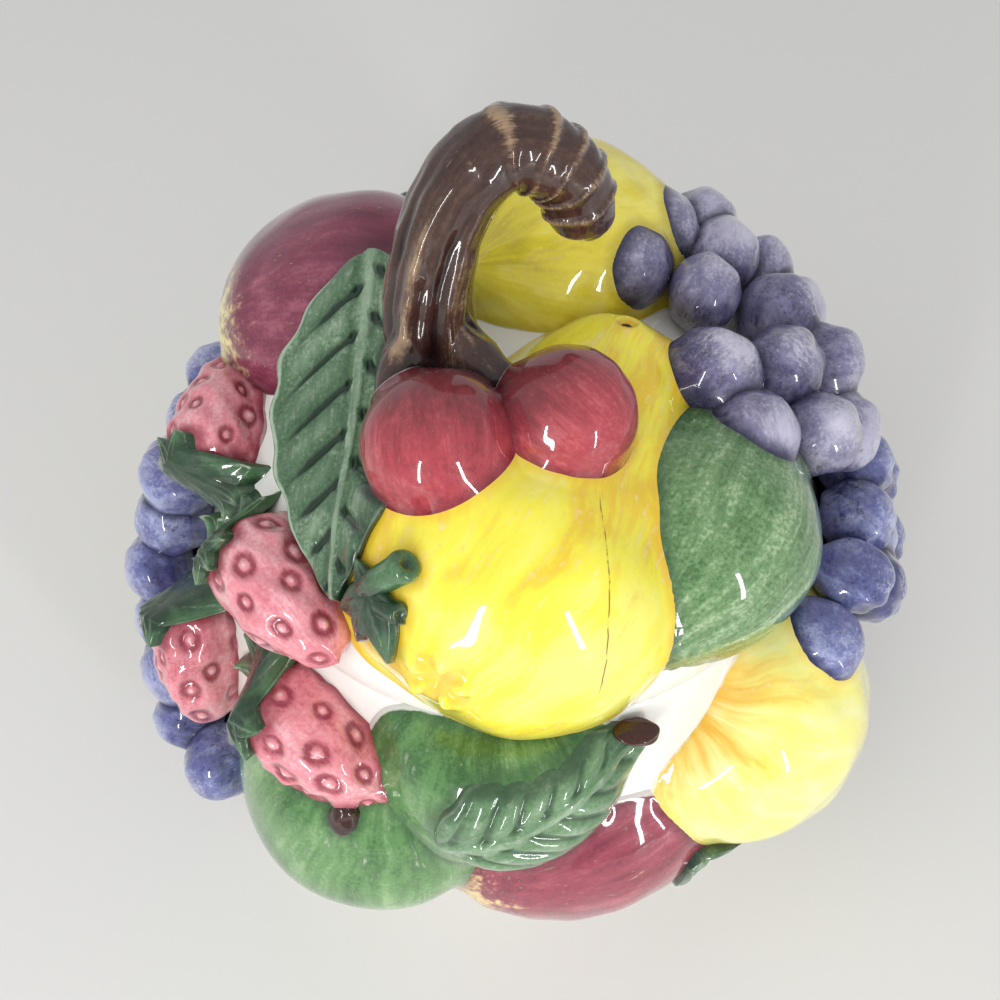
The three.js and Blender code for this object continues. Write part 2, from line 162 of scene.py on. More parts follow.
def wall_normal(outside, share):
    step = 1e-4
    run = outside(min(1, share + step)) - outside(max(0, share - step))
    run /= np.linalg.norm(run)
    return np.array([run[1], -run[0]])


def soft_above(value, floor, softness):
    """A value that keeps above a floor, bending smoothly away from it."""
    return floor + softness * np.logaddexp(0, (value - floor) / softness)


def tuck_into_jar(points):
    """Keeps a piece off the table and under the seam, with its back bedded in the jar's wall."""
    x, y, z = points.T
    z = soft_above(z, FOOT_CLEARANCE, BED_SOFTNESS)
    z = RIM_HEIGHT - soft_above(RIM_HEIGHT - z, 0, SEAM_SOFTNESS)
    radius = np.hypot(x, y)
    bedded = soft_above(radius, jar_radius(z) - WALL / 2, BED_SOFTNESS)
    return np.column_stack([x * bedded / radius, y * bedded / radius, z])


def tuck_into_lid(points):
    """Keeps a piece above the seam, with its back bedded in the lid's dome."""
    x, y, z = points.T
    inward = np.sqrt(1 - np.clip(np.hypot(x, y) / RIM_RADIUS, 0, 1) ** 2)
    dome = RIM_HEIGHT + SEAT_GAP + (LID_RISE - WALL / 2) * inward
    return np.column_stack([x, y, soft_above(z, dome, SEAM_SOFTNESS)])


def off_jar(points):
    """How far points stand off the jar's wall."""
    return np.hypot(points[:, 0], points[:, 1]) - jar_radius(points[:, 2])


def off_lid(points):
    """How far points stand above the lid's dome."""
    inward = np.sqrt(1 - np.clip(np.hypot(points[:, 0], points[:, 1]) / RIM_RADIUS, 0, 1) ** 2)
    return points[:, 2] - RIM_HEIGHT - LID_RISE * inward


Shell = namedtuple("Shell", "body outside tuck off")
JAR = Shell("jar", jar_outside, tuck_into_jar, off_jar)
LID = Shell("lid", lid_outside, tuck_into_lid, off_lid)


def turn_matrix(axis, angle):
    return np.array(Matrix.Rotation(math.radians(angle), 4, Vector(axis)))


def seat(shell, bearing, share, proud=0, spin=0, lean=0):
    """A place on a shell: its axes run right, up the shell and out of it."""
    turn = math.radians(bearing)
    outward = np.array([math.sin(turn), -math.cos(turn), 0])
    radius, height = shell.outside(share)
    slope = wall_normal(shell.outside, share)
    out = outward * slope[0] + Z * slope[1]
    along = Z * slope[0] - outward * slope[1]
    place = np.eye(4)
    place[:3, :3] = np.column_stack([np.cross(along, out), along, out])
    place[:3, 3] = outward * radius + Z * height + out * proud
    return place @ turn_matrix(Z, spin) @ turn_matrix(X, lean)


def moved(points, place):
    return points @ place[:3, :3].T + place[:3, 3]


# Balls of clay, pressed to a form

Form = namedtuple("Form", "points brush along relief")


def added(name, data):
    """A new object in the scene."""
    made = bpy.data.objects.new(name, data)
    bpy.context.scene.collection.objects.link(made)
    return made


def clay_balls(name, count, fineness):
    """A mesh of separate balls, and the unit directions that each one's points lie in."""
    bm = bmesh.new()
    for _ in range(count):
        bmesh.ops.create_icosphere(bm, subdivisions=fineness, radius=1)
    mesh = bpy.data.meshes.new(name)
    bm.to_mesh(mesh)
    bm.free()
    points = points_of(mesh)
    return mesh, points[: len(points) // count]


def points_of(mesh):
    flat = np.empty(len(mesh.vertices) * 3)
    mesh.vertices.foreach_get("co", flat)
    return flat.reshape(-1, 3)


def normals_of(mesh, points):
    mesh.vertices.foreach_set("co", points.ravel())
    mesh.update()
    flat = np.empty(len(points) * 3, np.float32)
    mesh.vertex_normals.foreach_get("vector", flat)
    return flat.reshape(-1, 3).astype(float)


def polar(directions):
    """The turn about the fruit's axis, and the share of the way along it from blossom end to stalk."""
    x, y, z = directions.T
    return np.arctan2(x, z), np.arccos(np.clip(-y, -1, 1)) / np.pi


def smooth_run(points, count):
    """A smooth run of points through the given ones."""
    points = np.asarray(points, float)
    padded = np.vstack([points[:1], points, points[-1:]])
    place = np.linspace(0, len(points) - 1, count)
    low = np.minimum(place.astype(int), len(points) - 2)
    t = (place - low)[:, None]
    before, start, end, after = (padded[low + i] for i in range(4))
    leave, arrive = (end - before) / 2, (after - start) / 2
    cubic = 2 * start - 2 * end + leave + arrive
    square = 3 * end - 3 * start - 2 * leave - arrive
    return cubic * t**3 + square * t**2 + leave * t + start


def run_shares(run):
    """How far along a run each of its points lies, from 0 to 1."""
    steps = np.linalg.norm(np.diff(run, axis=0), axis=1)
    return np.concatenate([[0], np.cumsum(steps)]) / steps.sum()


def rolled(turn, along):
    """Brush places that run round a form and along it without a seam."""
    return np.column_stack([np.cos(turn), np.sin(turn), along])


def around(turn, radius, level):
    return np.column_stack([radius * np.sin(turn), level, radius * np.cos(turn)])


def turned(outline, factor=1.0):
    """A fruit turned about its stalk axis, from a half outline of (radius, height) points."""
    run = smooth_run(np.array(outline) * factor, OUTLINE_STEPS)
    shares = run_shares(run)

    def press(directions):
        turn, along = polar(directions)
        radius = np.maximum(0, np.interp(along, shares, run[:, 0]))
        points = around(turn, radius, np.interp(along, shares, run[:, 1]))
        return Form(points, rolled(turn, along), along, np.zeros(len(points)))

    return press


def ball(across, along=None, deep=None, grain=(0, 1, 0), crown=0.0):
    """A round or egg-shaped fruit, brushed along its grain, paler where it faces out from the shell and
    darker towards its sides, as much as crown says.
    """
    radii = np.array([across, along or across, deep or across])
    grain = np.array(grain) / np.linalg.norm(grain)
    aside = np.cross(grain, X if abs(grain[0]) < 0.8 else Z)
    aside /= np.linalg.norm(aside)
    axes = np.column_stack([aside, np.cross(grain, aside), grain])

    def press(directions):
        brush = directions @ axes
        share = np.arccos(np.clip(-brush[:, 2], -1, 1)) / np.pi
        brush[:, 2] = share
        facing_out = 1.6 * np.clip(directions[:, 2], 0, 1) ** 1.5 - 0.6
        return Form(directions * radii, brush, share, crown * facing_out)

    return press


def flattened(directions):
    """A ball pressed flat: places across and along its disc, and how far round the edge to its back."""
    x, y, z = directions.T
    edge = 0.42 * np.pi
    fall = np.arccos(np.clip(z, -1, 1))
    spread = np.minimum(1, np.minimum(fall, np.pi - fall) / edge)
    flat = np.hypot(x, y) + 1e-9
    along = y / flat * spread
    across = np.clip(x / flat * spread / np.sqrt(1 - along**2 + 1e-9), -1, 1)
    back = np.clip((fall - edge) / (np.pi - 2 * edge), 0, 1)
    return across, along, back


def leaf(length, width, depth=1.0, veins=6, lean=0.75):
    """The face of a leaf from stalk to tip, pillowed between grooved veins."""

    def face(across, share):
        half = width / 2 * np.sin(np.pi * share**0.85) ** 0.8 + LEAF_STALK * (1 - 0.7 * share)
        edge = np.abs(across)
        scallop = 1 + 0.035 * np.sin(share * veins * 2 * np.pi + 2 * np.sign(across)) * edge**4
        side = across * half * scallop
        reach = share * length
        spacing = length / (veins + 1)
        place = (reach - lean * np.abs(side) - 0.012 * side**2) / spacing + 0.3 * np.sign(side)
        off_vein = np.abs(place - np.round(place)) * spacing
        reached = np.clip((np.abs(side) - 0.6) / 1.4, 0, 1) * np.clip((0.95 - edge) / 0.4, 0, 1)
        groove = np.exp(-((off_vein / (0.5 + 1.0 * reached)) ** 2)) * reached
        between = np.cos(np.pi * (place - np.round(place) - 0.5)) ** 2
        pillow = between * np.clip((np.abs(side) - 1.5) / 4, 0, 1) * (1 - edge**6)
        rib_width = 0.8 + 1.4 * (1 - share)
        rib = np.exp(-((side / rib_width) ** 4))
        gutter = np.exp(-(((np.abs(side) - rib_width - 0.9) / 0.8) ** 2))
        hem = np.exp(-(((edge - 0.97) / 0.03) ** 2))
        height = 0.8 * pillow - 0.9 * groove + 0.6 * rib - 0.3 * gutter
        relief = 0.45 * pillow - 1.2 * groove + 0.6 * rib - 0.35 * gutter + 1.0 * hem - 0.05
        return side, reach, height * depth, relief * depth

    return face


def sepal(length, width):
    """The face of a sepal from its root to its tip, with a pale edge and a pale line along its middle."""

    def face(across, share):
        side = across * (width / 2) * np.sin(np.pi * (0.15 + 0.85 * share) ** 0.8) ** 0.7
        edge = np.abs(across)
        fold = np.cos(edge * 8 + share * 3) * edge
        hem = np.exp(-(((edge - 0.95) / 0.05) ** 2))
        rib = np.exp(-((side / 0.6) ** 2)) * np.clip(share * 3, 0, 1)
        return side, share * length, 0.4 * fold + 0.3 * rib, 1.2 * hem + 0.7 * rib + 0.35 * fold - 0.35

    return face


def steepness(bed, x, y):
    """How much higher a leaf's face stands over its bed where the bed slopes."""
    across = (bed(x + BED_STEP, y) - bed(x - BED_STEP, y)) / (2 * BED_STEP)
    up = (bed(x, y + BED_STEP) - bed(x, y - BED_STEP)) / (2 * BED_STEP)
    return np.minimum(np.sqrt(1 + across**2 + up**2), STEEPEST)


def laid(face, bed, start, turn=0.0, thick=LEAF_THICK, sink=LEAF_SINK):
    """A leaf or sepal that lies on its bed, from its root at the start, turned to the right of up."""
    angle = math.radians(turn)

    def press(directions):
        across, along, back = flattened(directions)
        share = (along + 1) / 2
        side, reach, height, relief = face(across, share)
        x = start[0] + side * math.cos(angle) + reach * math.sin(angle)
        y = start[1] - side * math.sin(angle) + reach * math.cos(angle)
        body = thick * (1 - 0.35 * np.abs(across) ** 4) * steepness(bed, x, y)
        level = bed(x, y) + body + height * (1 - back) - (thick + sink) * back
        relief = np.where(back > 0.05, -0.3, relief)
        brush = np.column_stack([side / LEAF_BRUSH, side * 0, share])
        return Form(np.column_stack([x, y, level]), brush, share, relief)

    return press


# Marks pressed into a form. Each gives how far it lifts the surface, and how thick the glaze lies there;
# where it lies very deep, a hole is painted dark as shade.

def hollow(centre, width, depth, pooling=1.0):
    def mark(points, normals):
        near = np.exp(-((np.linalg.norm(points - centre, axis=1) / width) ** 2))
        return -depth * near, -pooling * near

    return mark


def wobble(size, wavelength, seed):
    """The slow unevenness of a hand-finished casting."""
    draw = np.random.default_rng(seed)
    waves = draw.normal(size=(7, 3)) / wavelength
    phases = draw.uniform(0, 2 * np.pi, 7)

    def mark(points, normals):
        height = np.sin(points @ waves.T * 2 * np.pi + phases).mean(axis=1) * size
        return height, np.zeros(len(points))

    return mark


def calyx(centre, radius):
    """Five dried sepals round a hollow at a fruit's blossom end."""

    def mark(points, normals):
        offset = points - centre
        reach = np.linalg.norm(offset, axis=1)
        near = normals[np.argmin(reach)]
        right = np.cross(near, X)
        right /= np.linalg.norm(right)
        turn = np.arctan2(offset @ np.cross(near, right), offset @ right)
        bowl = np.exp(-((reach / (0.45 * radius)) ** 2))
        petals = (0.5 + 0.5 * np.cos(5 * turn)) ** 2
        ring = np.exp(-(((reach - 0.6 * radius) / (0.35 * radius)) ** 2))
        mound = np.exp(-((reach / radius) ** 4))
        height = 1.3 * mound + 2.0 * ring * petals - 2.4 * bowl
        return height, 0.5 * mound * petals - 1.6 * bowl - 1.1 * ring * (1 - petals)

    return mark


def seeds(outline, count, seed):
    """Pits in a spiral over a strawberry, each with a raised seed."""
    draw = np.random.default_rng(seed)
    press = turned(outline)
    golden = np.pi * (3 - math.sqrt(5))
    shares = (np.arange(count) + 0.5) / count
    level = 1 - 1.8 * shares
    turn = golden * np.arange(count) + draw.uniform(0, 0.5, count)
    flat = np.sqrt(1 - level**2)
    centres = press(np.column_stack([flat * np.sin(turn), level, flat * np.cos(turn)])).points
    widths = draw.uniform(0.75, 1.2, count)

    def mark(points, normals):
        nearest = np.full(len(points), np.inf)
        for centre, width in zip(centres, widths):
            offset = (points - centre) / (width * np.array([1, 1.25, 1]))
            nearest = np.minimum(nearest, np.linalg.norm(offset, axis=1))
        pit = np.exp(-((nearest / PIT_RADIUS) ** 4))
        pip = np.exp(-((nearest / PIP_RADIUS) ** 2))
        return PIP_HEIGHT * pip - PIT_DEPTH * pit, 2.3 * pip - 1.35 * pit

    return mark


def ribs(count, start, size):
    """Fine ribs that run to the tip of a fruit."""

    def mark(points, normals):
        turn = np.arctan2(points[:, 0], points[:, 2])
        reach = np.clip((points[:, 1] - start) / 12, 0, 1)
        rib = np.cos(count * turn) * reach
        return size * rib, 0.5 * rib

    return mark


# Luted pieces

Piece = namedtuple("Piece", "name shell glaze mesh points brush along relief crevice")
PIECES = []


def luted(name, shell, glaze, lumps, marks=(), fineness=FINE):
    """A piece of one or more lumps, each a (press, place) pair, with marks all over it."""
    mesh, directions = clay_balls(name, len(lumps), fineness)
    forms = [press(directions) for press, _ in lumps]
    local = np.vstack([form.points for form in forms])
    relief = np.concatenate([form.relief for form in forms])
    normals = normals_of(mesh, local)
    lift = np.zeros(len(local))
    for mark in marks:
        height, depth = mark(local, normals)
        lift += height
        relief = relief + depth
    local = local + normals * lift[:, None]
    size = len(directions)
    placed = [moved(local[i * size:(i + 1) * size], place) for i, (_, place) in enumerate(lumps)]
    points = np.stack([shell.tuck(lump) for lump in placed])
    along = np.concatenate([form.along for form in forms])
    own = np.repeat(np.arange(len(lumps)) * LUMP_SHIFT, size) + len(PIECES) * PIECE_SHIFT
    brush = np.vstack([form.brush for form in forms]) + np.outer(own, (1, -1, 1))
    PIECES.append(Piece(name, shell, glaze, mesh, points, brush, along, relief, np.zeros(points.shape[:2])))


PEAR_OUTLINE = [(0, -38.5), (22, -35), (40, -18), (44, 3), (37, 22), (28, 42), (22, 57), (14, 69), (0, 73)]
LEMON_OUTLINE = [(0, -40), (9, -36), (23, -23), (30, 0), (23, 23), (9, 36), (6, 41), (0, 44)]
APPLE_OUTLINE = [(0, -28), (12, -31), (28, -18), (34, 4), (26, 25), (12, 30), (0, 22)]
FIG_OUTLINE = [(0, -32), (20, -27), (33, -4), (29, 18), (16, 34), (6, 42), (0, 44)]
STRAWBERRY_OUTLINE = [(0, -19), (9, -18), (13.5, -9), (12, 6), (7, 18), (0, 24)]


def fruit(name, shell, glaze, press, place, marks=(), fineness=FINE):
    luted(name, shell, glaze, [(press, seat(shell, *place))], marks, fineness)


Laid = namedtuple("Laid", "name shell glaze place lobes half_size ease levels marks fineness")
LAID = []
CAP_MIDDLE = (0, -19)


def spread(sepals, middle):
    """Lobes for (turn, length, width) sepals that lie round a middle."""

    def lobes(bed):
        return [laid(sepal(length, width), bed, middle, turn, SEPAL_THICK) for turn, length, width in sepals]

    return lobes


def strawberry(name, shell, seed, sepals, place):
    """A strawberry and its cap, laid round its stalk end."""
    there = seat(shell, *place)
    marks = [seeds(STRAWBERRY_OUTLINE, SEED_COUNT, seed), wobble(1.3, 20, seed)]
    luted(name, shell, "strawberry", [(turned(STRAWBERRY_OUTLINE), there)], marks)
    lobes = spread(sepals, CAP_MIDDLE)
    how = (CAP_HALF_SIZE, CAP_EASE, CAP_LEVELS, [], GRAPE_FINENESS)
    LAID.append(Laid(f"{name}_cap", shell, "cap", there, lobes, *how))


def foliage(name, shell, length, width, seed, place, levels=LEAF_LEVELS, sink=LEAF_SINK, fineness=FINE,
            glaze="leaf", slip=0, depth=1.0, ease=LEAF_EASE):
    """A leaf laid over its neighbours, between two levels above its own place."""

    def lobes(bed):
        return [laid(leaf(length, width, depth), bed, (0, slip - length / 2), sink=sink)]

    marks = [wobble(0.8, 30, seed)]
    there = seat(shell, *place)
    LAID.append(Laid(name, shell, glaze, there, lobes, length * 0.6, ease, levels, marks, fineness))


def level_at(bed, x, y):
    return bed(np.array([x]), np.array([y]))[0]


def tube(stations, bed):
    """A rolled sepal through (x, y, lift, radius) stations above its bed."""
    return rod([(x, y, level_at(bed, x, y) + lift, radius) for x, y, lift, radius in stations])


def sprig(name, shell, sepals, tubes, place):
    """A blossom of sepals, some of them rolled into tubes with open ends."""
    flat = spread(sepals, SPRIG_MIDDLE)

    def lobes(bed):
        return flat(bed) + [tube(stations, bed) for stations in tubes]

    there = seat(shell, *place)
    how = (SPRIG_HALF_SIZE, CAP_EASE, SPRIG_LEVELS, tubes, GRAPE_FINENESS)
    LAID.append(Laid(name, shell, "cap", there, lobes, *how))


def run_frames(run):
    """Directions along, right of and above a run, carried along it without a twist."""
    along = np.gradient(run, axis=0)
    along /= np.linalg.norm(along, axis=1)[:, None]
    right = [np.cross(along[0], Y)]
    for step in along:
        carried = right[-1] - step * (right[-1] @ step)
        right.append(carried / np.linalg.norm(carried))
    right = np.array(right[1:])
    return along, right, np.cross(along, right)


def rod(stations):
    """A round rod through (x, y, z, radius) stations, with rounded ends."""
    run = smooth_run(stations, OUTLINE_STEPS)
    shares = run_shares(run[:, :3])
    length = np.linalg.norm(np.diff(run[:, :3], axis=0), axis=1).sum()
    _, right, above = run_frames(run[:, :3])

    def press(directions):
        turn, share = polar(directions)
        near_end = np.minimum(share, 1 - share) * length
        x, y, z, radius = (np.interp(share, shares, run[:, i]) for i in range(4))
        radius = radius * np.sqrt(1 - np.clip(1 - near_end / radius, 0, 1) ** 2)
        aside = np.column_stack([np.interp(share, shares, right[:, i]) for i in range(3)])
        over = np.column_stack([np.interp(share, shares, above[:, i]) for i in range(3)])
        offset = aside * (radius * np.cos(turn))[:, None] + over * (radius * np.sin(turn))[:, None]
        return Form(np.column_stack([x, y, z]) + offset, rolled(turn, share), share, np.zeros(len(turn)))

    return press


def bark(points, stations):
    """Long ridges low on the trunk and rings round the hook: turn, share and height of each at each point."""
    run = smooth_run(stations, TRUNK_STEPS)
    finder = KDTree(len(run))
    for i, spot in enumerate(run):
        finder.insert(spot[:3], i)
    finder.balance()
    nearest = np.array([finder.find(spot)[1] for spot in points])
    _, right, above = run_frames(run[:, :3])
    offset = points - run[nearest, :3]
    turn = np.arctan2((offset * above[nearest]).sum(axis=1), (offset * right[nearest]).sum(axis=1))
    share = run_shares(run[:, :3])[nearest]
    off_roots = np.clip((ROOT_REACH - np.linalg.norm(offset, axis=1)) / 4, 0.25, 1)
    trunk = np.clip((RIDGES_END - share) / 0.3, 0, 1) * off_roots
    ridge = np.cos(RIDGES * turn + 3 * share + 0.6 * np.sin(9 * share))
    ridge += 0.4 * np.cos(FINE_RIDGES * turn - 5 * share)
    hook = np.clip((share - HOOK_START) / 0.05, 0, 1) * np.clip((HOOK_END - share) / 0.05, 0, 1)
    uneven = share * RING_RATE + 0.4 * np.sin(share * 31) + 0.7 * np.sin(turn)
    uneven += 0.5 * np.sin(3 * turn + share * 20)
    ring = (0.5 + 0.5 * np.cos(uneven)) ** 5 * (0.75 + 0.25 * np.cos(2 * turn + 7 * share)) - 0.2
    return turn, share, ridge * trunk, ring * hook


def twig(name, trunk, roots):
    """A trunk and its roots fused into one bent twig, with bark modelled over it."""
    mesh, directions = clay_balls(name, 1 + len(roots), FINE)
    rods = [rod(stations)(directions).points for stations in [trunk] + roots]
    mesh.vertices.foreach_set("co", np.vstack(rods).ravel())
    blank = added(name, mesh)
    fused = blank.modifiers.new("fused", "REMESH")
    fused.mode = "VOXEL"
    fused.voxel_size = TWIG_GRAIN
    eased = blank.modifiers.new("eased", "SMOOTH")
    eased.iterations = TWIG_EASING
    done = blank.evaluated_get(bpy.context.evaluated_depsgraph_get())
    fused_mesh = bpy.data.meshes.new_from_object(done)
    bpy.data.objects.remove(blank)
    points = points_of(fused_mesh)
    normals = normals_of(fused_mesh, points)
    turn, share, ridge, ring = bark(points, trunk)
    knots = wobble(1.0, 14, 41)(points, normals)[0]
    lift = RIDGE_HEIGHT * ridge + RING_HEIGHT * ring + KNOT_HEIGHT * knots
    points = points + normals * lift[:, None] + Z * CROWN
    relief = 0.65 * ridge + 1.15 * ring + 0.4 * knots
    brush = rolled(turn, share)
    nothing = np.zeros((1, len(points)))
    PIECES.append(Piece(name, LID, "bark", fused_mesh, LID.tuck(points)[None], brush, share, relief, nothing))


def rise_rate(outside, share):
    step = 1e-3
    return np.linalg.norm(outside(share) - outside(share - step)) / step


def grape(draw):
    """One grape, a little longer one way, paler on its outward crown and darker towards its sides."""
    across, along, deep = GRAPE_RADIUS * draw.uniform((0.84, 0.95, 0.9), (0.95, 1.08, 1.0))
    return ball(across, along, deep, draw.normal(size=3), draw.uniform(0.5, 1.0))


def grape_bunch(name, shell, glaze, places, seed):
    """Grapes pressed together at (bearing, share, proud) places on a shell."""
    draw = np.random.default_rng(seed)
    lumps = []
    for bearing, share, proud in places:
        place = seat(shell, bearing, share, proud, draw.uniform(-50, 50), draw.uniform(-15, 15))
        lumps.append((grape(draw), place))
    luted(name, shell, glaze, lumps, [wobble(1.1, 16, seed)], GRAPE_FINENESS)


def grape_rows(shell, top, proud, rows, seed):
    """Places in rows that run round a shell, every other one further out."""
    draw = np.random.default_rng(seed)
    places = []
    share = top
    for row, (start, count) in enumerate(rows):
        radius = shell.outside(share)[0] + proud * wall_normal(shell.outside, share)[0]
        step = math.degrees(GRAPE_PITCH / radius)
        for i in range(count):
            out = proud + 2 * ((row + i) % 2) + draw.uniform(-1, 1)
            bearing = start + (i + draw.uniform(-0.12, 0.12)) * step
            places.append((bearing, share + draw.uniform(-0.012, 0.012), out))
        share -= GRAPE_ROW / rise_rate(shell.outside, share)
    return places


# Everything luted to the lid. A place is (bearing, share of the way up the shell, proud, spin, lean).

CROWN = RIM_HEIGHT + LID_RISE
TRUNK = [(-21, -8, -10, 12), (-21, -7, 13, 11), (-21, -2, 33, 9.5), (-15, 5, 53, 9), (-4, 10, 63, 9),
         (8, 12, 57, 8.5), (13, 12, 45, 8), (14, 11, 37, 5)]
LEFT_ROOT = [(-23, -2, 26, 5.5), (-26, -10, 24, 5.5), (-28, -18, 22, 5), (-28, -24, 17, 3.5)]
RIGHT_ROOT = [(-18, -2, 26, 5.5), (-13, -9, 24, 5.5), (-7, -14, 21, 5), (-2, -18, 15, 3.5)]
twig("twig_handle", TRUNK, [LEFT_ROOT, RIGHT_ROOT])
SPRIG_MIDDLE = (0, 2)
SPRIG_SEPALS = [(172, 15, 11), (-145, 12, 10), (-100, 11, 9), (130, 10, 7), (-20, 9, 7)]
SPRIG_TUBES = [
    [(-3, 3.5, 0.6, 2.4), (2, 5, 1.6, 3.2), (8, 7, 2.4, 3.7), (12.5, 9, 3.2, 4.6)],
    [(0, 1, 0.6, 2.0), (4, -0.5, 1.4, 2.4), (8.5, -3, 1.8, 3.0)],
]
sprig("blossom_sprig", LID, SPRIG_SEPALS, SPRIG_TUBES, (-27, 0.4, 0, 27))
CHERRY_GRAIN = (-0.5, 0.8, 0.35)
fruit("cherry_left", LID, "cherry", ball(17.5, grain=CHERRY_GRAIN), (-30, 0.72, 20), [wobble(0.5, 20, 1)])
fruit("cherry_right", LID, "cherry", ball(16, grain=CHERRY_GRAIN), (22, 0.8, 20), [wobble(0.5, 20, 2)])
foliage("crown_leaf", LID, 88, 42, 3, (-59, 0.625, 17, -128, -9), (-8, 9), 10, FINEST, slip=-6)
PEAR_PLACE = (-4, 0.585, -17, -26)
PEAR_CALYX = (1.4, -32.5, 26.1)
PEAR_STALK = (-3.4, 65.6, 16.9)
PEAR_CRACK = [(12.1, 19.5, 36.1), (25.7, -0.6, 35.9), (33.9, -18.3, 21)]
pear_marks = [wobble(1.0, 45, 4), calyx(PEAR_CALYX, 9), hollow(PEAR_STALK, 4.5, -2.0, -0.3)]
# The stalk's deep pit, its hole painted dark as shade.
pear_marks.append(hollow(PEAR_STALK, 1.8, 4.0, 4.5))
fruit("pear", LID, "pear", turned(PEAR_OUTLINE), PEAR_PLACE, pear_marks, FINEST)
LID_GRAPES = [(139, 0.63, 10), (143, 0.45, 13), (139, 0.29, 15), (119, 0.54, 11), (129, 0.36, 13),
              (127, 0.16, 13), (111, 0.34, 12), (117, 0.14, 12), (89, 0.61, 10), (95, 0.42, 11),
              (101, 0.21, 12), (73, 0.5, 10), (82, 0.3, 11), (90, 0.1, 10), (104, 0.04, 10),
              (128, 0.03, 10), (142, 0.12, 11)]
grape_bunch("lid_grapes", LID, "pale_grape", LID_GRAPES, 5)
SIDE_SEPALS = [(-150, 11, 8), (-100, 12, 8), (-50, 9, 7), (0, 9, 7), (50, 10, 7), (105, 12, 8), (160, 11, 8)]
LONG_SEPALS = [(180, 22, 11), (150, 21, 10), (-148, 20, 10), (-100, 15, 9), (100, 16, 9), (35, 11, 9),
               (-35, 11, 9)]
LOW_SEPALS = [(-140, 15, 10), (-90, 17, 10), (-35, 12, 9), (25, 12, 9), (80, 16, 10), (135, 18, 10),
              (-175, 14, 10)]
strawberry("strawberry_side", LID, 6, SIDE_SEPALS, (-92, 0.14, 4, 98, 4))
strawberry("strawberry_front", LID, 7, SIDE_SEPALS, (-49, 0.22, 3, -92))
peach_marks = [wobble(0.8, 40, 8), hollow((14.5, 22.8, 19.3), 8, 4, 1.0)]
fruit("peach", LID, "peach", ball(36, 38, 30, grain=(-0.12, 0.95, -0.295)), (-129, 0.41, -3, 40), peach_marks)
fruit("lemon", LID, "lemon", turned(LEMON_OUTLINE, 1.12), (165, 0.51, -2, 150, -12), [wobble(1.0, 30, 9)])
fig_marks = [wobble(0.8, 36, 10), ribs(70, 22, 0.25)]
fruit("fig", LID, "fig", turned(FIG_OUTLINE, 0.94), (55, 0.46, -12, 98), fig_marks)
foliage("lid_back_leaf", LID, 58, 30, 11, (-166, 0.2, 8, 165))

# Everything luted to the jar

foliage("front_leaf", JAR, 58, 34, 12, (4, 0.885, 16, -67, -4), (BED_LOWEST, 25), fineness=FINEST,
        glaze="front_leaf", depth=0.7, ease=10)
strawberry("strawberry_left", JAR, 13, LONG_SEPALS, (-63, 0.72, 6, -152))
strawberry("strawberry_low", JAR, 14, LOW_SEPALS, (-34, 0.86, 5, -102))
fruit("yellow_apple_stalk", JAR, "stalk", ball(3.6, 6.2), (19, 0.98, 5, 60),
      [wobble(0.4, 6, 15)], GRAPE_FINENESS)
fruit("green_apple_stalk", JAR, "stalk", ball(3.2, 4.5), (-25, 0.78, 13),
      [wobble(0.4, 6, 16)], GRAPE_FINENESS)
fruit("yellow_apple", JAR, "yellow_apple", turned(APPLE_OUTLINE, 1.2), (48, 0.69, -17, 36),
      [wobble(1.0, 40, 17)])
fruit("plum", JAR, "plum", ball(44, 36, 32, grain=(0.85, -0.1, -0.3)), (12, 0.52, -20, 14),
      [wobble(0.8, 40, 18)])
fruit("green_apple_left", JAR, "green_apple", turned(APPLE_OUTLINE, 1.2), (-29, 0.58, -21, -8, 10),
      [wobble(1.0, 40, 19)])
fruit("green_apple_front", JAR, "green_apple", turned(APPLE_OUTLINE, 1.03), (-4, 0.84, -20, 0, 10),
      [wobble(1.0, 40, 20)])
foliage("side_leaf", JAR, 52, 26, 21, (33, 0.4, 4, -150))
GRAPE_TOP = 0.905
GRAPE_PROUD = 10
RIGHT_ROWS = [(57, 6), (72, 5), (78, 4), (82, 3), (87, 2), (92, 1)]
LEFT_ROWS = [(-122, 4), (-117, 4), (-112, 4), (-107, 5), (-93, 5), (-77, 3)]
for bunch, rows, seed in (("right_grapes", RIGHT_ROWS, 22), ("left_grapes", LEFT_ROWS, 23)):
    grape_bunch(bunch, JAR, "dark_grape", grape_rows(JAR, GRAPE_TOP, GRAPE_PROUD, rows, seed), seed)
foliage("right_leaf", JAR, 58, 28, 24, (74, 0.27, 4, -160))
foliage("left_leaf", JAR, 58, 28, 25, (-93, 0.27, 4, 165))
fruit("right_plum", JAR, "plum", ball(29, 32, 26), (114, 0.36, -8, 10), [wobble(0.8, 40, 26)])
foliage("back_leaf_upper", JAR, 60, 30, 27, (-152, 0.85, 8, -75))
fruit("left_pear", JAR, "pear", turned(PEAR_OUTLINE, 0.74), (-118, 0.27, -10, -18), [wobble(0.8, 40, 28)])
foliage("back_leaf_right", JAR, 62, 31, 29, (163, 0.8, 10, 65))
fruit("back_lemon", JAR, "lemon", turned(LEMON_OUTLINE), (144, 0.5, -9, 25), [wobble(1.0, 30, 30)])
fruit("back_peach", JAR, "peach", ball(38, 36, 32), (-174, 0.62, -15), [wobble(0.8, 40, 31)])
fruit("back_apple", JAR, "green_apple", turned(APPLE_OUTLINE, 1.12), (-137, 0.5, -14, 12),
      [wobble(1.0, 40, 32)])
foliage("back_leaf_left", JAR, 56, 28, 33, (174, 0.27, 5, 80))


# Leaves and caps, laid on what is already there

FACES = {}
TREES = {}
NEVER_A_BED = ("bark", "cherry", "stalk")


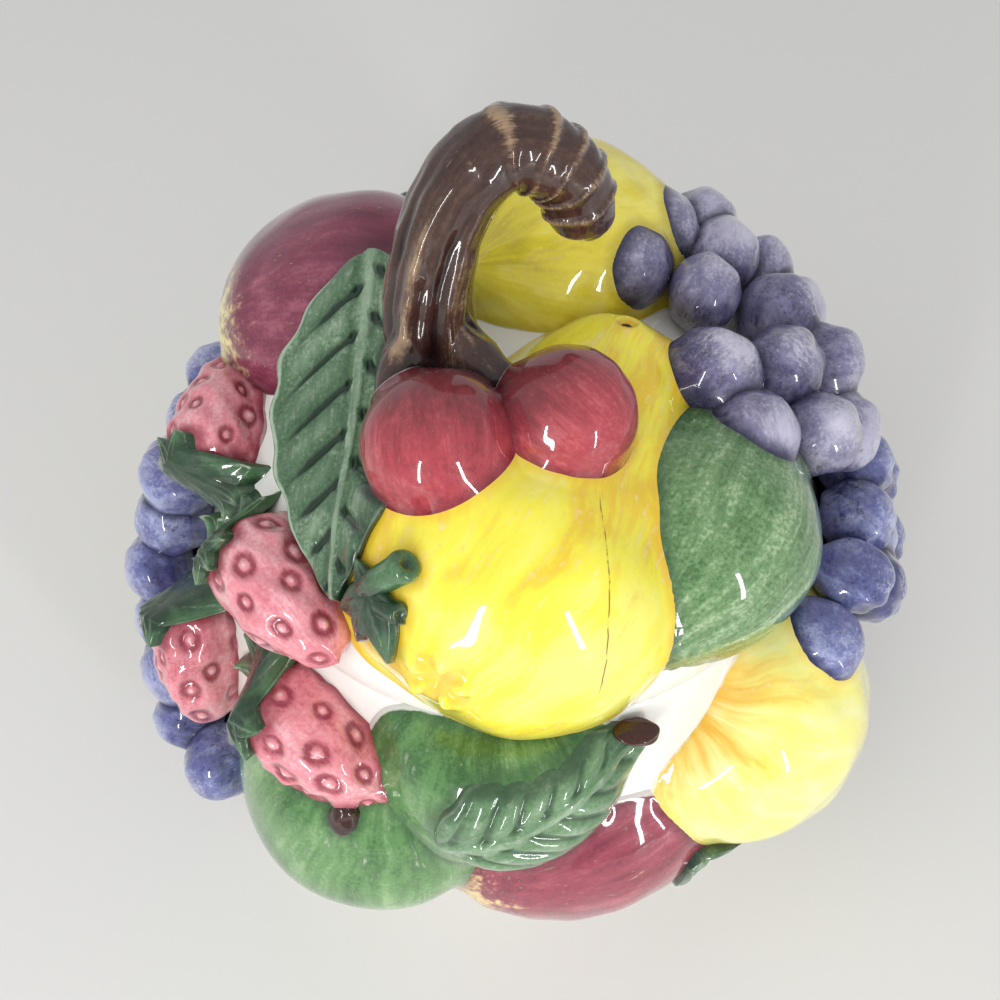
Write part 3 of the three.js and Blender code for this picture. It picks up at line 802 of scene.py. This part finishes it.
def lump_tree(piece, i):
    """A search tree over one lump of a piece."""
    count, size = piece.points.shape[:2]
    if size not in FACES:
        FACES[size] = [tuple(p.vertices) for p in piece.mesh.polygons[: len(piece.mesh.polygons) // count]]
    if (piece.name, i) not in TREES:
        TREES[piece.name, i] = BVHTree.FromPolygons(piece.points[i].tolist(), FACES[size])
    return TREES[piece.name, i]


def spun(profile, steps):
    """A run of (radius, height) points spun round the jar's axis."""
    bm = bmesh.new()
    spots = [bm.verts.new((radius, 0, height)) for radius, height in profile]
    edges = [bm.edges.new(pair) for pair in zip(spots, spots[1:])]
    bmesh.ops.spin(bm, geom=spots + edges, axis=(0, 0, 1), cent=(0, 0, 0), angle=2 * math.pi, steps=steps,
                   use_merge=True)
    bmesh.ops.remove_doubles(bm, verts=bm.verts, dist=1e-4)
    bmesh.ops.recalc_face_normals(bm, faces=bm.faces)
    return bm


def bed_trees(shell):
    """Search trees over a shell and the fruit that a leaf may lie on."""
    shares = np.linspace(0, 1, BED_RISE_STEPS)
    wall = spun([tuple(shell.outside(share)) for share in shares], BED_TURN_STEPS)
    trees = [BVHTree.FromBMesh(wall)]
    wall.free()
    for piece in PIECES:
        if piece.shell is shell and piece.glaze not in NEVER_A_BED:
            trees += [lump_tree(piece, i) for i in range(len(piece.points))]
    return trees


def eased(heights):
    padded = np.pad(heights, 1, mode="edge")
    rows = (padded[:-2] + 2 * padded[1:-1] + padded[2:]) / 4
    return (rows[:, :-2] + 2 * rows[:, 1:-1] + rows[:, 2:]) / 4


def bed_under(trees, place, half_size, ease, levels):
    """How high the fruit stands under each place of a leaf, eased so that the leaf bridges the gaps."""
    reach = np.arange(-half_size, half_size + BED_STEP, BED_STEP)
    down = Vector(-place[:3, 2])
    felt = np.full((len(reach), len(reach)), float(levels[0]))
    for i, y in enumerate(reach):
        for j, x in enumerate(reach):
            start = Vector(moved(np.array([x, y, FEEL_FROM]), place))
            for tree in trees:
                depth = tree.ray_cast(start, down, FEEL_DEPTH)[3]
                if depth is not None:
                    felt[i, j] = max(felt[i, j], FEEL_FROM - depth)
    felt = np.minimum(felt, levels[1])
    bed = felt
    for _ in range(ease):
        bed = np.maximum(eased(bed), felt)
    bed = eased(eased(bed))

    def height(x, y):
        column = np.clip((x + half_size) / BED_STEP, 0, len(reach) - 1.001)
        row = np.clip((y + half_size) / BED_STEP, 0, len(reach) - 1.001)
        i, j = row.astype(int), column.astype(int)
        s, t = column - j, row - i
        near = bed[i, j] * (1 - s) + bed[i, j + 1] * s
        far = bed[i + 1, j] * (1 - s) + bed[i + 1, j + 1] * s
        return near * (1 - t) + far * t

    return height


def lay_leaves():
    trees = {shell.body: bed_trees(shell) for shell in (JAR, LID)}
    for one in LAID:
        bed = bed_under(trees[one.shell.body], one.place, one.half_size, one.ease, one.levels)
        marks = [mark if callable(mark) else shaded_open_end(mark, bed) for mark in one.marks]
        lumps = [(lobe, one.place) for lobe in one.lobes(bed)]
        luted(one.name, one.shell, one.glaze, lumps, marks, one.fineness)


def shaded_open_end(stations, bed):
    """The open end of a rolled sepal, its hollow painted dark as shade."""
    x, y, lift, radius = stations[-1]
    level = level_at(bed, x, y) + lift
    ahead = np.array([x, y]) - stations[-2][:2]
    ahead = ahead / np.linalg.norm(ahead)
    centre = (x + ahead[0] * radius * 0.3, y + ahead[1] * radius * 0.3, level + radius * 0.6)
    return hollow(centre, radius * 0.62, radius * 1.6, 3.0)


lay_leaves()


# Where neighbours meet: fillets, and how deep in a crevice each point lies, for glaze pooled there and
# painted shade

LAID_NAMES = {one.name for one in LAID}


def contact_reach(points, gap, hidden):
    """How far each point lies from where its surface dips into a neighbour."""
    if not hidden.any():
        return np.full(len(points), CREVICE_REACH)
    finder = KDTree(int(hidden.sum()))
    for k in np.flatnonzero(hidden):
        finder.insert(points[k], int(k))
    finder.balance()
    strayed = np.full(len(points), CREVICE_REACH)
    for k in np.flatnonzero(gap < CREVICE_REACH):
        strayed[k] = finder.find(points[k])[2] - CONTACT_SLACK
    return np.minimum(np.maximum(gap, strayed), CREVICE_REACH)


def lies_inside(tree, spot, way):
    """Whether a point lies in a closed lump: on its way out it meets the lump's skin from behind."""
    facing = tree.ray_cast(Vector(spot), Vector(way))[1]
    return facing is not None and facing.dot(Vector(way)) > 0


def settle():
    """Fillets each lump where it meets another, and notes how deep in a crevice each point lies."""
    lumps = []
    for piece in PIECES:
        normals = normals_of(piece.mesh, piece.points.reshape(-1, 3)).reshape(piece.points.shape)
        for i, points in enumerate(piece.points):
            lumps.append((piece, i, points.copy(), normals[i], points.min(axis=0), points.max(axis=0)))
    for piece, i, points, normals, low, high in lumps:
        lies_on = piece.name in LAID_NAMES
        off_shell = np.clip(piece.shell.off(points), 0, CREVICE_REACH)
        gap = np.full(len(points), CREVICE_REACH) if lies_on else off_shell
        luted_gap = gap.copy()
        for other, j, _, _, other_low, other_high in lumps:
            if other is piece and i == j:
                continue
            if (low > other_high + CREVICE_REACH).any() or (high < other_low - CREVICE_REACH).any():
                continue
            tree = lump_tree(other, j)
            joined = other.shell is piece.shell and not lies_on and other.name not in LAID_NAMES
            close = ((points > other_low - CREVICE_REACH) & (points < other_high + CREVICE_REACH)).all(axis=1)
            for k in np.flatnonzero(close):
                spot = points[k]
                found, facing, _, distance = tree.find_nearest(spot, gap[k] + 0.01)
                if found is None:
                    continue
                if (spot - found) @ facing < 0 and lies_inside(tree, spot, normals[k]):
                    distance = 0
                gap[k] = min(gap[k], distance)
                if joined:
                    luted_gap[k] = min(luted_gap[k], distance)
        hidden = gap == 0
        if lies_on:
            hidden &= ((points - MIDDLE) * normals).sum(axis=1) > 0
        reach = contact_reach(points, gap, hidden)
        luted_reach = contact_reach(points, luted_gap, luted_gap == 0)
        fill = np.clip(1 - luted_reach / FILLET_REACH, 0, 1) ** 2 * FILLET_HEIGHT
        piece.points[i] = points + normals * fill[:, None]
        # The crevice measure darkens the glaze near contacts: glaze pooled there, and painted shade.
        piece.crevice[i] = 1 - np.maximum(reach, np.minimum(luted_reach, UNLUTED_REACH)) / CREVICE_REACH


settle()


# Painted glazes

def srgb(*channels):
    return tuple(((c / 255 + 0.055) / 1.055) ** 2.4 for c in channels) + (1.0,)


def put(tree, kind, inputs=None, **settings):
    made = tree.nodes.new(kind)
    for name, value in settings.items():
        setattr(made, name, value)
    for key, value in (inputs or {}).items():
        if isinstance(value, bpy.types.NodeSocket):
            tree.links.new(value, made.inputs[key])
        else:
            made.inputs[key].default_value = value
    return made


WHITE = (246, 244, 238)
# Painted shade in deep holes.
HOLE_SHADE = (40, 18, 8)
CRACK_BROWN = (150, 108, 36)
OFF = 9.0  # a zone that starts here never shows
# Shades: washes light, mid and dark; deep, for glaze pooled in hollows and painted shade near contacts; pale,
# for glaze thinned on ridges.
SHADES = ("light", "mid", "dark", "deep", "pale")
# Tints towards the stalk, towards the blossom end and along the seams; a dark seam tint is painted shade.
TINTS = {"top": WHITE, "foot": WHITE, "seam": WHITE}
AMOUNTS = {"along": 1.5, "around": 7.0, "strokes": 0.8, "patches": 0.8, "mottle": 0.5, "pooling": 0.6,
           "thinning": 0.8, "bare_seam": 0.7, "bare_top": 0.0, "top_from": OFF, "top_to": OFF + 1,
           "foot_from": -OFF, "foot_to": -OFF - 1}
OUTPUTS = ("height", "roughness", "coat")


def painted_glaze():
    """Brush strokes of thin colour that pool in hollows, thin out on ridges and stop short of the seams; near
    contacts, seams and deep holes it also paints shade.
    """
    group = bpy.data.node_groups.new("painted_glaze", "ShaderNodeTree")
    sockets = [(name, "INPUT", "Color") for name in (*SHADES, *TINTS)]
    sockets += [(name, "INPUT", "Float") for name in AMOUNTS]
    sockets += [("colour", "OUTPUT", "Color")] + [(name, "OUTPUT", "Float") for name in OUTPUTS]
    for name, way, kind in sockets:
        group.interface.new_socket(name=name, in_out=way, socket_type=f"NodeSocket{kind}")
    given = group.nodes.new("NodeGroupInput").outputs

    def noted(name, output="Fac"):
        return put(group, "ShaderNodeAttribute", attribute_name=name).outputs[output]

    def noise(vector, scale, detail, roughness=0.55, output="Fac"):
        inputs = {"Vector": vector, "Scale": scale, "Detail": detail, "Roughness": roughness}
        return put(group, "ShaderNodeTexNoise", inputs).outputs[output]

    def maths(operation, *values):
        return put(group, "ShaderNodeMath", dict(enumerate(values)), operation=operation).outputs[0]

    def vectors(operation, *values):
        return put(group, "ShaderNodeVectorMath", dict(enumerate(values)), operation=operation).outputs[0]

    def plus(first, second):
        return maths("ADD", first, second)

    def times(value, gain):
        return maths("MULTIPLY", value, gain)

    def onto(base, value, gain):
        return maths("MULTIPLY_ADD", value, gain, base)

    def centred(value, gain):
        return times(maths("SUBTRACT", value, 0.5), gain)

    def ramped(value, low, high):
        """A smooth step from 0 at low to 1 at high."""
        inputs = {"Value": value, "From Min": low, "From Max": high}
        return put(group, "ShaderNodeMapRange", inputs, interpolation_type="SMOOTHSTEP").outputs["Result"]

    def mixed(share, first, second):
        inputs = {"Factor": share, 6: first, 7: second}
        return put(group, "ShaderNodeMix", inputs, data_type="RGBA").outputs[2]

    place = put(group, "ShaderNodeTexCoord").outputs["Object"]
    relief = noted("relief")
    crevice = noted("crevice")
    stretch = {0: given["around"], 1: given["around"], 2: given["along"]}
    stretched = put(group, "ShaderNodeCombineXYZ", stretch).outputs[0]
    lined = vectors("MULTIPLY", noted("brush", "Vector"), stretched)
    swayed = vectors("MULTIPLY_ADD", noise(place, 45, 1, output="Color"), (1.6, 1.6, 1.6), lined)
    stroke = noise(swayed, 1.0, 3)
    bristle = noise(swayed, 3.6, 2)
    patch = noise(place, 32, 2)
    mottle = noise(place, 210, 3, 0.6)
    grain = noise(place, 900, 2, 0.7)

    # Washes from light to dark, in strokes and patches
    streak = plus(centred(stroke, 1.6), centred(bristle, 0.8))
    tone = onto(0.5, streak, given["strokes"])
    tone = onto(tone, centred(patch, 2.2), given["patches"])
    tone = onto(tone, plus(centred(mottle, 0.8), centred(grain, 1.5)), given["mottle"])
    washed = mixed(ramped(tone, -0.1, 0.55), given["light"], given["mid"])
    washed = mixed(ramped(tone, 0.45, 1.1), washed, given["dark"])

    # Another colour towards the stalk and towards the blossom end
    zone = onto(noted("along"), plus(streak, centred(mottle, 0.3)), 0.2)
    top = ramped(zone, given["top_from"], given["top_to"])
    foot = ramped(zone, given["foot_from"], given["foot_to"])
    washed = mixed(times(top, 0.85), washed, given["top"])
    washed = mixed(foot, washed, given["foot"])

    # Thin on ridges, pooled in hollows, darkened near contacts by pooled glaze and painted shade; along the
    # seams bare clay, or dark painted shade where the seam tint is dark
    speckle = plus(centred(grain, 0.9), centred(mottle, 0.9))
    ragged = plus(relief, onto(speckle, centred(bristle, 1.6), given["strokes"]))
    washed = mixed(times(ramped(ragged, 0.15, 1.0), given["thinning"]), washed, given["pale"])
    low = ramped(times(ragged, -1.0), 0.1, 1.0)
    # Near contacts the deep colour is glaze pooled in the crevice and painted shade.
    gap = ramped(plus(crevice, centred(mottle, 0.35)), 0.35, 0.95)
    washed = mixed(times(maths("MAXIMUM", low, gap), given["pooling"]), washed, given["deep"])
    # Along the seams a line of the seam tint: bare white clay in most glazes, dark painted shade on grapes,
    # bark and stalks.
    seam_line = ramped(plus(crevice, centred(mottle, 0.12)), 0.92, 0.98)
    washed = mixed(times(seam_line, given["bare_seam"]), washed, given["seam"])
    # Deep holes are painted dark brown as shade.
    washed = mixed(ramped(times(relief, -1.0), 1.9, 2.4), washed, srgb(*HOLE_SHADE))

    # A hairline crack, where a piece has one
    strayed = maths("ABSOLUTE", plus(noted("crack_side"), centred(noise(place, 120, 2), 1.6)))
    hair = times(ramped(strayed, 0.26, 0.08), noted("crack_span"))
    washed = mixed(times(hair, ramped(mottle, 0.35, 0.5)), washed, srgb(*CRACK_BROWN))

    matte = times(top, given["bare_top"])
    gloss = onto(onto(0.2, grain, 0.2), matte, 0.5)
    height = onto(noise(place, 110, 2), bristle, 0.12)
    made = {"colour": washed, "height": height, "roughness": gloss, "coat": maths("SUBTRACT", 1.0, matte)}
    put(group, "NodeGroupOutput", made)
    return group


def new_material(name):
    material = bpy.data.materials.new(name)
    material.use_nodes = True
    return material, material.node_tree.nodes["Principled BSDF"]


PAINTED = painted_glaze()
GLAZES = {}


def glaze(name, *shades, **changes):
    """Mixes a glaze from its five shades, and from what differs from the usual tints and amounts."""
    material, surface = new_material(f"{name}_glaze")
    tree = material.node_tree
    paint = put(tree, "ShaderNodeGroup", node_tree=PAINTED)
    for key, value in {**dict(zip(SHADES, shades)), **TINTS, **AMOUNTS, **changes}.items():
        paint.inputs[key].default_value = srgb(*value) if isinstance(value, tuple) else value
    ripples = {"Height": paint.outputs["height"], "Strength": 0.25, "Distance": 0.0012}
    bump = put(tree, "ShaderNodeBump", ripples)
    tree.links.new(bump.outputs[0], surface.inputs["Normal"])
    for output, socket in (("colour", "Base Color"), ("roughness", "Roughness"), ("coat", "Coat Weight")):
        tree.links.new(paint.outputs[output], surface.inputs[socket])
    for socket, value in (("Coat Roughness", 0.03), ("IOR", 1.5), ("Specular IOR Level", 0.15)):
        surface.inputs[socket].default_value = value
    GLAZES[name] = material


glaze("white", WHITE, (243, 241, 234), (236, 234, 226), (206, 202, 192), WHITE, top=(226, 212, 186),
      top_from=0.6, top_to=0.9, strokes=0.3, patches=0.5, mottle=0.1, pooling=0.35, bare_top=1.0)
# The bark's seam line is dark painted shade where the twig meets its neighbours.
glaze("bark", (98, 71, 58), (68, 45, 38), (46, 28, 25), (24, 13, 13), (182, 152, 120), seam=(34, 19, 17),
      along=2, around=5, patches=0.5, mottle=0.9, pooling=0.95, thinning=0.75)
glaze("cherry", (204, 104, 108), (176, 66, 76), (134, 40, 52), (92, 22, 36), (232, 160, 152),
      top=(108, 46, 52), top_from=0.4, top_to=0.78, foot=(226, 150, 92), foot_from=0.12, foot_to=0.02,
      around=8, strokes=0.7, patches=0.5, mottle=0.6)
glaze("pear", (255, 250, 124), (254, 243, 74), (246, 208, 52), (228, 168, 40), (255, 252, 206),
      along=2, around=4.5, strokes=1.3, patches=1.1, mottle=0.25, pooling=0.5, bare_seam=0.4)
glaze("lemon", (248, 236, 112), (234, 216, 62), (200, 182, 60), (168, 146, 44), (255, 248, 190),
      along=2, around=4, strokes=0.9, mottle=0.35, pooling=0.5)
glaze("peach", (166, 92, 110), (126, 54, 76), (92, 32, 54), (74, 20, 42), (240, 222, 150),
      top=(84, 26, 48), top_from=0.7, top_to=0.98, foot=(246, 232, 150), foot_from=0.24, foot_to=0.08,
      along=1.2, around=8, patches=0.5)
glaze("plum", (190, 104, 116), (154, 64, 82), (114, 38, 58), (86, 20, 42), (240, 214, 170),
      foot=(244, 216, 150), foot_from=0.2, foot_to=0.1, along=1.2, around=8, strokes=0.9, patches=0.5)
# On the grapes the seam line where they meet is dark painted shade.
glaze("pale_grape", (182, 178, 200), (124, 120, 152), (74, 70, 102), (32, 30, 58), (212, 208, 222),
      seam=(26, 24, 50), along=5, around=3, patches=1.2, mottle=0.8, pooling=0.95)
glaze("dark_grape", (166, 172, 210), (104, 108, 160), (60, 62, 114), (24, 26, 66), (200, 202, 226),
      seam=(20, 22, 56), along=5, around=3, patches=1.2, mottle=0.8, pooling=0.95)
glaze("leaf", (150, 174, 144), (82, 114, 82), (44, 76, 50), (18, 42, 28), (190, 208, 182), along=4,
      around=2, strokes=0.5, patches=0.6, mottle=0.9, pooling=0.95, thinning=0.7, bare_seam=0.15)
glaze("front_leaf", (150, 178, 144), (104, 140, 100), (66, 102, 66), (34, 66, 42), (204, 218, 198), along=4,
      around=2, strokes=0.6, patches=0.5, mottle=0.8, pooling=0.8, thinning=0.7, bare_seam=0.15)
glaze("cap", (126, 160, 120), (76, 114, 76), (44, 80, 50), (20, 46, 30), (210, 222, 200), seam=(20, 46, 30),
      along=4, around=2, strokes=0.6, patches=0.6, mottle=0.6, pooling=0.85, bare_seam=0.0)
glaze("fig", (176, 198, 158), (110, 146, 98), (62, 102, 56), (36, 70, 36), (190, 208, 166),
      along=1.6, around=8, patches=0.4, mottle=1.0)
glaze("green_apple", (152, 188, 132), (102, 146, 88), (62, 106, 56), (36, 78, 40), (214, 228, 200),
      top=(52, 98, 52), top_from=0.84, top_to=0.99, along=2.5, around=6, strokes=1.0, mottle=0.7)
glaze("yellow_apple", (255, 253, 190), (254, 248, 140), (250, 228, 92), (236, 184, 64), (255, 253, 222),
      top=(244, 170, 48), top_from=0.7, top_to=0.97, along=2, around=4, strokes=0.9, mottle=0.3, pooling=0.4)
glaze("strawberry", (252, 198, 202), (230, 142, 152), (192, 86, 102), (140, 38, 58), (252, 214, 212), along=3,
      around=4, strokes=0.6, patches=0.5, mottle=0.7, pooling=0.9, thinning=0.75, bare_seam=0.35)
# The stalk's seam line is dark painted shade where it sinks into its fruit.
glaze("stalk", (92, 46, 34), (66, 28, 20), (46, 18, 14), (26, 10, 8), (150, 110, 84), seam=(40, 16, 12),
      mottle=0.2)


# Finished objects

def note(mesh, name, values):
    """Notes a number at each point of a mesh, for its glaze."""
    mesh.attributes.new(name, "FLOAT", "POINT").data.foreach_set("value", values)


def hairline(mesh, points):
    """Notes how far each point of the pear lies from its crack, and whether the crack reaches there."""
    top, middle, low = moved(np.array(PEAR_CRACK), seat(LID, *PEAR_PLACE))
    across = np.cross(middle - top, low - top)
    across /= np.linalg.norm(across)
    down = (low - top) / np.linalg.norm(low - top) ** 2
    share = (points - top) @ down
    span = np.clip(share * 12, 0, 1) * np.clip((1 - share) * 12, 0, 1) * (points[:, 2] > RIM_HEIGHT)
    note(mesh, "crack_side", (points - top) @ across)
    note(mesh, "crack_span", span)


def finish_piece(piece):
    mesh = piece.mesh
    points = piece.points.reshape(-1, 3) * MM
    mesh.vertices.foreach_set("co", points.ravel())
    brush = mesh.attributes.new("brush", "FLOAT_VECTOR", "POINT")
    brush.data.foreach_set("vector", piece.brush.ravel())
    note(mesh, "along", piece.along)
    note(mesh, "relief", piece.relief)
    note(mesh, "crevice", piece.crevice.ravel())
    if piece.name == "pear":
        hairline(mesh, points / MM)
    mesh.materials.append(GLAZES[piece.glaze])
    mesh.shade_smooth()
    mesh.update()
    made = added(f"{piece.name}_form", mesh)
    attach(made, piece.shell.body)
    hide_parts(piece.name)


def turned_shell(name, shell, profile, bare):
    """A shell spun from its closed outline. Where bare holds for the height, the clay has no glaze."""
    bm = spun(rounded(profile, EDGE_ROUND), SHELL_TURN_STEPS)
    mesh = bpy.data.meshes.new(name)
    bm.to_mesh(mesh)
    bm.free()
    points = points_of(mesh)
    height = points[:, 2]
    brush = rolled(np.arctan2(points[:, 0], points[:, 1]), height / RIM_HEIGHT)
    none = np.zeros(len(points))
    along = bare(height).astype(float)
    finish_piece(Piece(name, shell, "white", mesh, points[None], brush, along, none, none))


def rounded(corners, radius, steps=6):
    """A run of (radius, height) corners with the sharp ones rounded off."""
    run = [corners[0]]
    for before, corner, after in zip(corners, corners[1:], corners[2:]):
        corner = np.array(corner, float)
        back, on = np.array(before) - corner, np.array(after) - corner
        back_length, on_length = np.linalg.norm(back), np.linalg.norm(on)
        if back @ on / (back_length * on_length) < -0.95:
            run.append(tuple(corner))
            continue
        near = min(radius, back_length / 2.2, on_length / 2.2)
        start = corner + back / back_length * near
        end = corner + on / on_length * near
        for t in np.linspace(0, 1, steps):
            run.append(tuple((1 - t) ** 2 * start + 2 * t * (1 - t) * corner + t**2 * end))
    return run + [corners[-1]]


climb = np.linspace(0, 1, SHELL_RISE_STEPS)
jar_wall = [tuple(jar_outside(share)) for share in climb]
jar_bore = [(radius - WALL, height) for radius, height in jar_wall[::-1] if height > FLOOR + SOFT_CORNER]
foot_inside = FOOT_RADIUS - FOOT_RING
jar_profile = [(0, FOOT_RECESS), (foot_inside - SOFT_CORNER, FOOT_RECESS), (foot_inside, 0)]
jar_profile += jar_wall + jar_bore + [(jar_bore[-1][0] - SOFT_CORNER, FLOOR), (0, FLOOR)]
turned_shell("jar_shell", JAR, jar_profile,
             lambda height: (height < BARE_FOOT) | (height > RIM_HEIGHT - BARE_RIM))

flange = RIM_RADIUS - WALL - FLANGE_CLEARANCE
flange_foot = RIM_HEIGHT - FLANGE_DEPTH
seat_height = RIM_HEIGHT + SEAT_GAP
lid_dome = [(r, max(z, seat_height)) for r, z in (lid_outside(share) for share in climb[::-1])]
lid_inside = []
for reach in np.linspace(flange - FLANGE_WALL, 0, DOME_STEPS):
    lid_inside.append((reach, RIM_HEIGHT + (LID_RISE - WALL) * math.sqrt(1 - (reach / RIM_RADIUS) ** 2)))
lid_profile = [(0, CROWN)] + lid_dome[1:] + [(flange, seat_height), (flange, flange_foot)]
lid_profile += [(flange - FLANGE_WALL, flange_foot)] + lid_inside
turned_shell("lid_shell", LID, lid_profile, lambda height: np.abs(height - seat_height) < BARE_SEAT)

for piece in PIECES:
    finish_piece(piece)

# Camera, lights and floor, in metres

PITCH = 57.8  # how far down the camera looks, in degrees
CAMERA_PLACE = (-0.005, -0.167, 0.368)
SENSOR_WIDTH = 36
LENS = 37.8
LAMPS_AIM = (0, 0, 0.1)
SKY = (0.95, 0.97, 1.0, 1)
SKY_STRENGTH = 0.58
FLOOR_PAINT = (232, 230, 226)
FLOOR_HALF_SIZE = 4

camera = added("camera", bpy.data.cameras.new("camera"))
camera.data.sensor_width = SENSOR_WIDTH
camera.data.lens = LENS
camera.location = CAMERA_PLACE
camera.rotation_euler = (math.radians(90 - PITCH), 0, 0)
bpy.context.scene.camera = camera


def softbox(name, place, width, height, power):
    light = bpy.data.lights.new(name, "AREA")
    light.shape = "RECTANGLE"
    light.size = width
    light.size_y = height
    light.energy = power
    made = added(name, light)
    made.location = place
    made.rotation_euler = (Vector(LAMPS_AIM) - made.location).to_track_quat("-Z", "Y").to_euler()
    return made


key = softbox("key_light", (-0.6, -0.5, 1.3), 1.4, 1.4, 6.2)
key.visible_glossy = False
softbox("strip_left", (-0.35, -0.85, 0.35), 0.06, 0.5, 2.8)
softbox("strip_right", (0.55, -0.75, 0.3), 0.06, 0.5, 2.6)

world = bpy.data.worlds.new("studio")
world.use_nodes = True
sky = world.node_tree.nodes["Background"].inputs
sky["Color"].default_value = SKY
sky["Strength"].default_value = SKY_STRENGTH
bpy.context.scene.world = world
bpy.context.scene.view_settings.view_transform = "Standard"

floor_bm = bmesh.new()
bmesh.ops.create_grid(floor_bm, x_segments=1, y_segments=1, size=FLOOR_HALF_SIZE)
floor_mesh = bpy.data.meshes.new("floor")
floor_bm.to_mesh(floor_mesh)
floor_bm.free()
floor_paint, floor_surface = new_material("floor_paint")
floor_surface.inputs["Base Color"].default_value = srgb(*FLOOR_PAINT)
floor_surface.inputs["Roughness"].default_value = 0.7
floor_mesh.materials.append(floor_paint)
added("floor", floor_mesh)
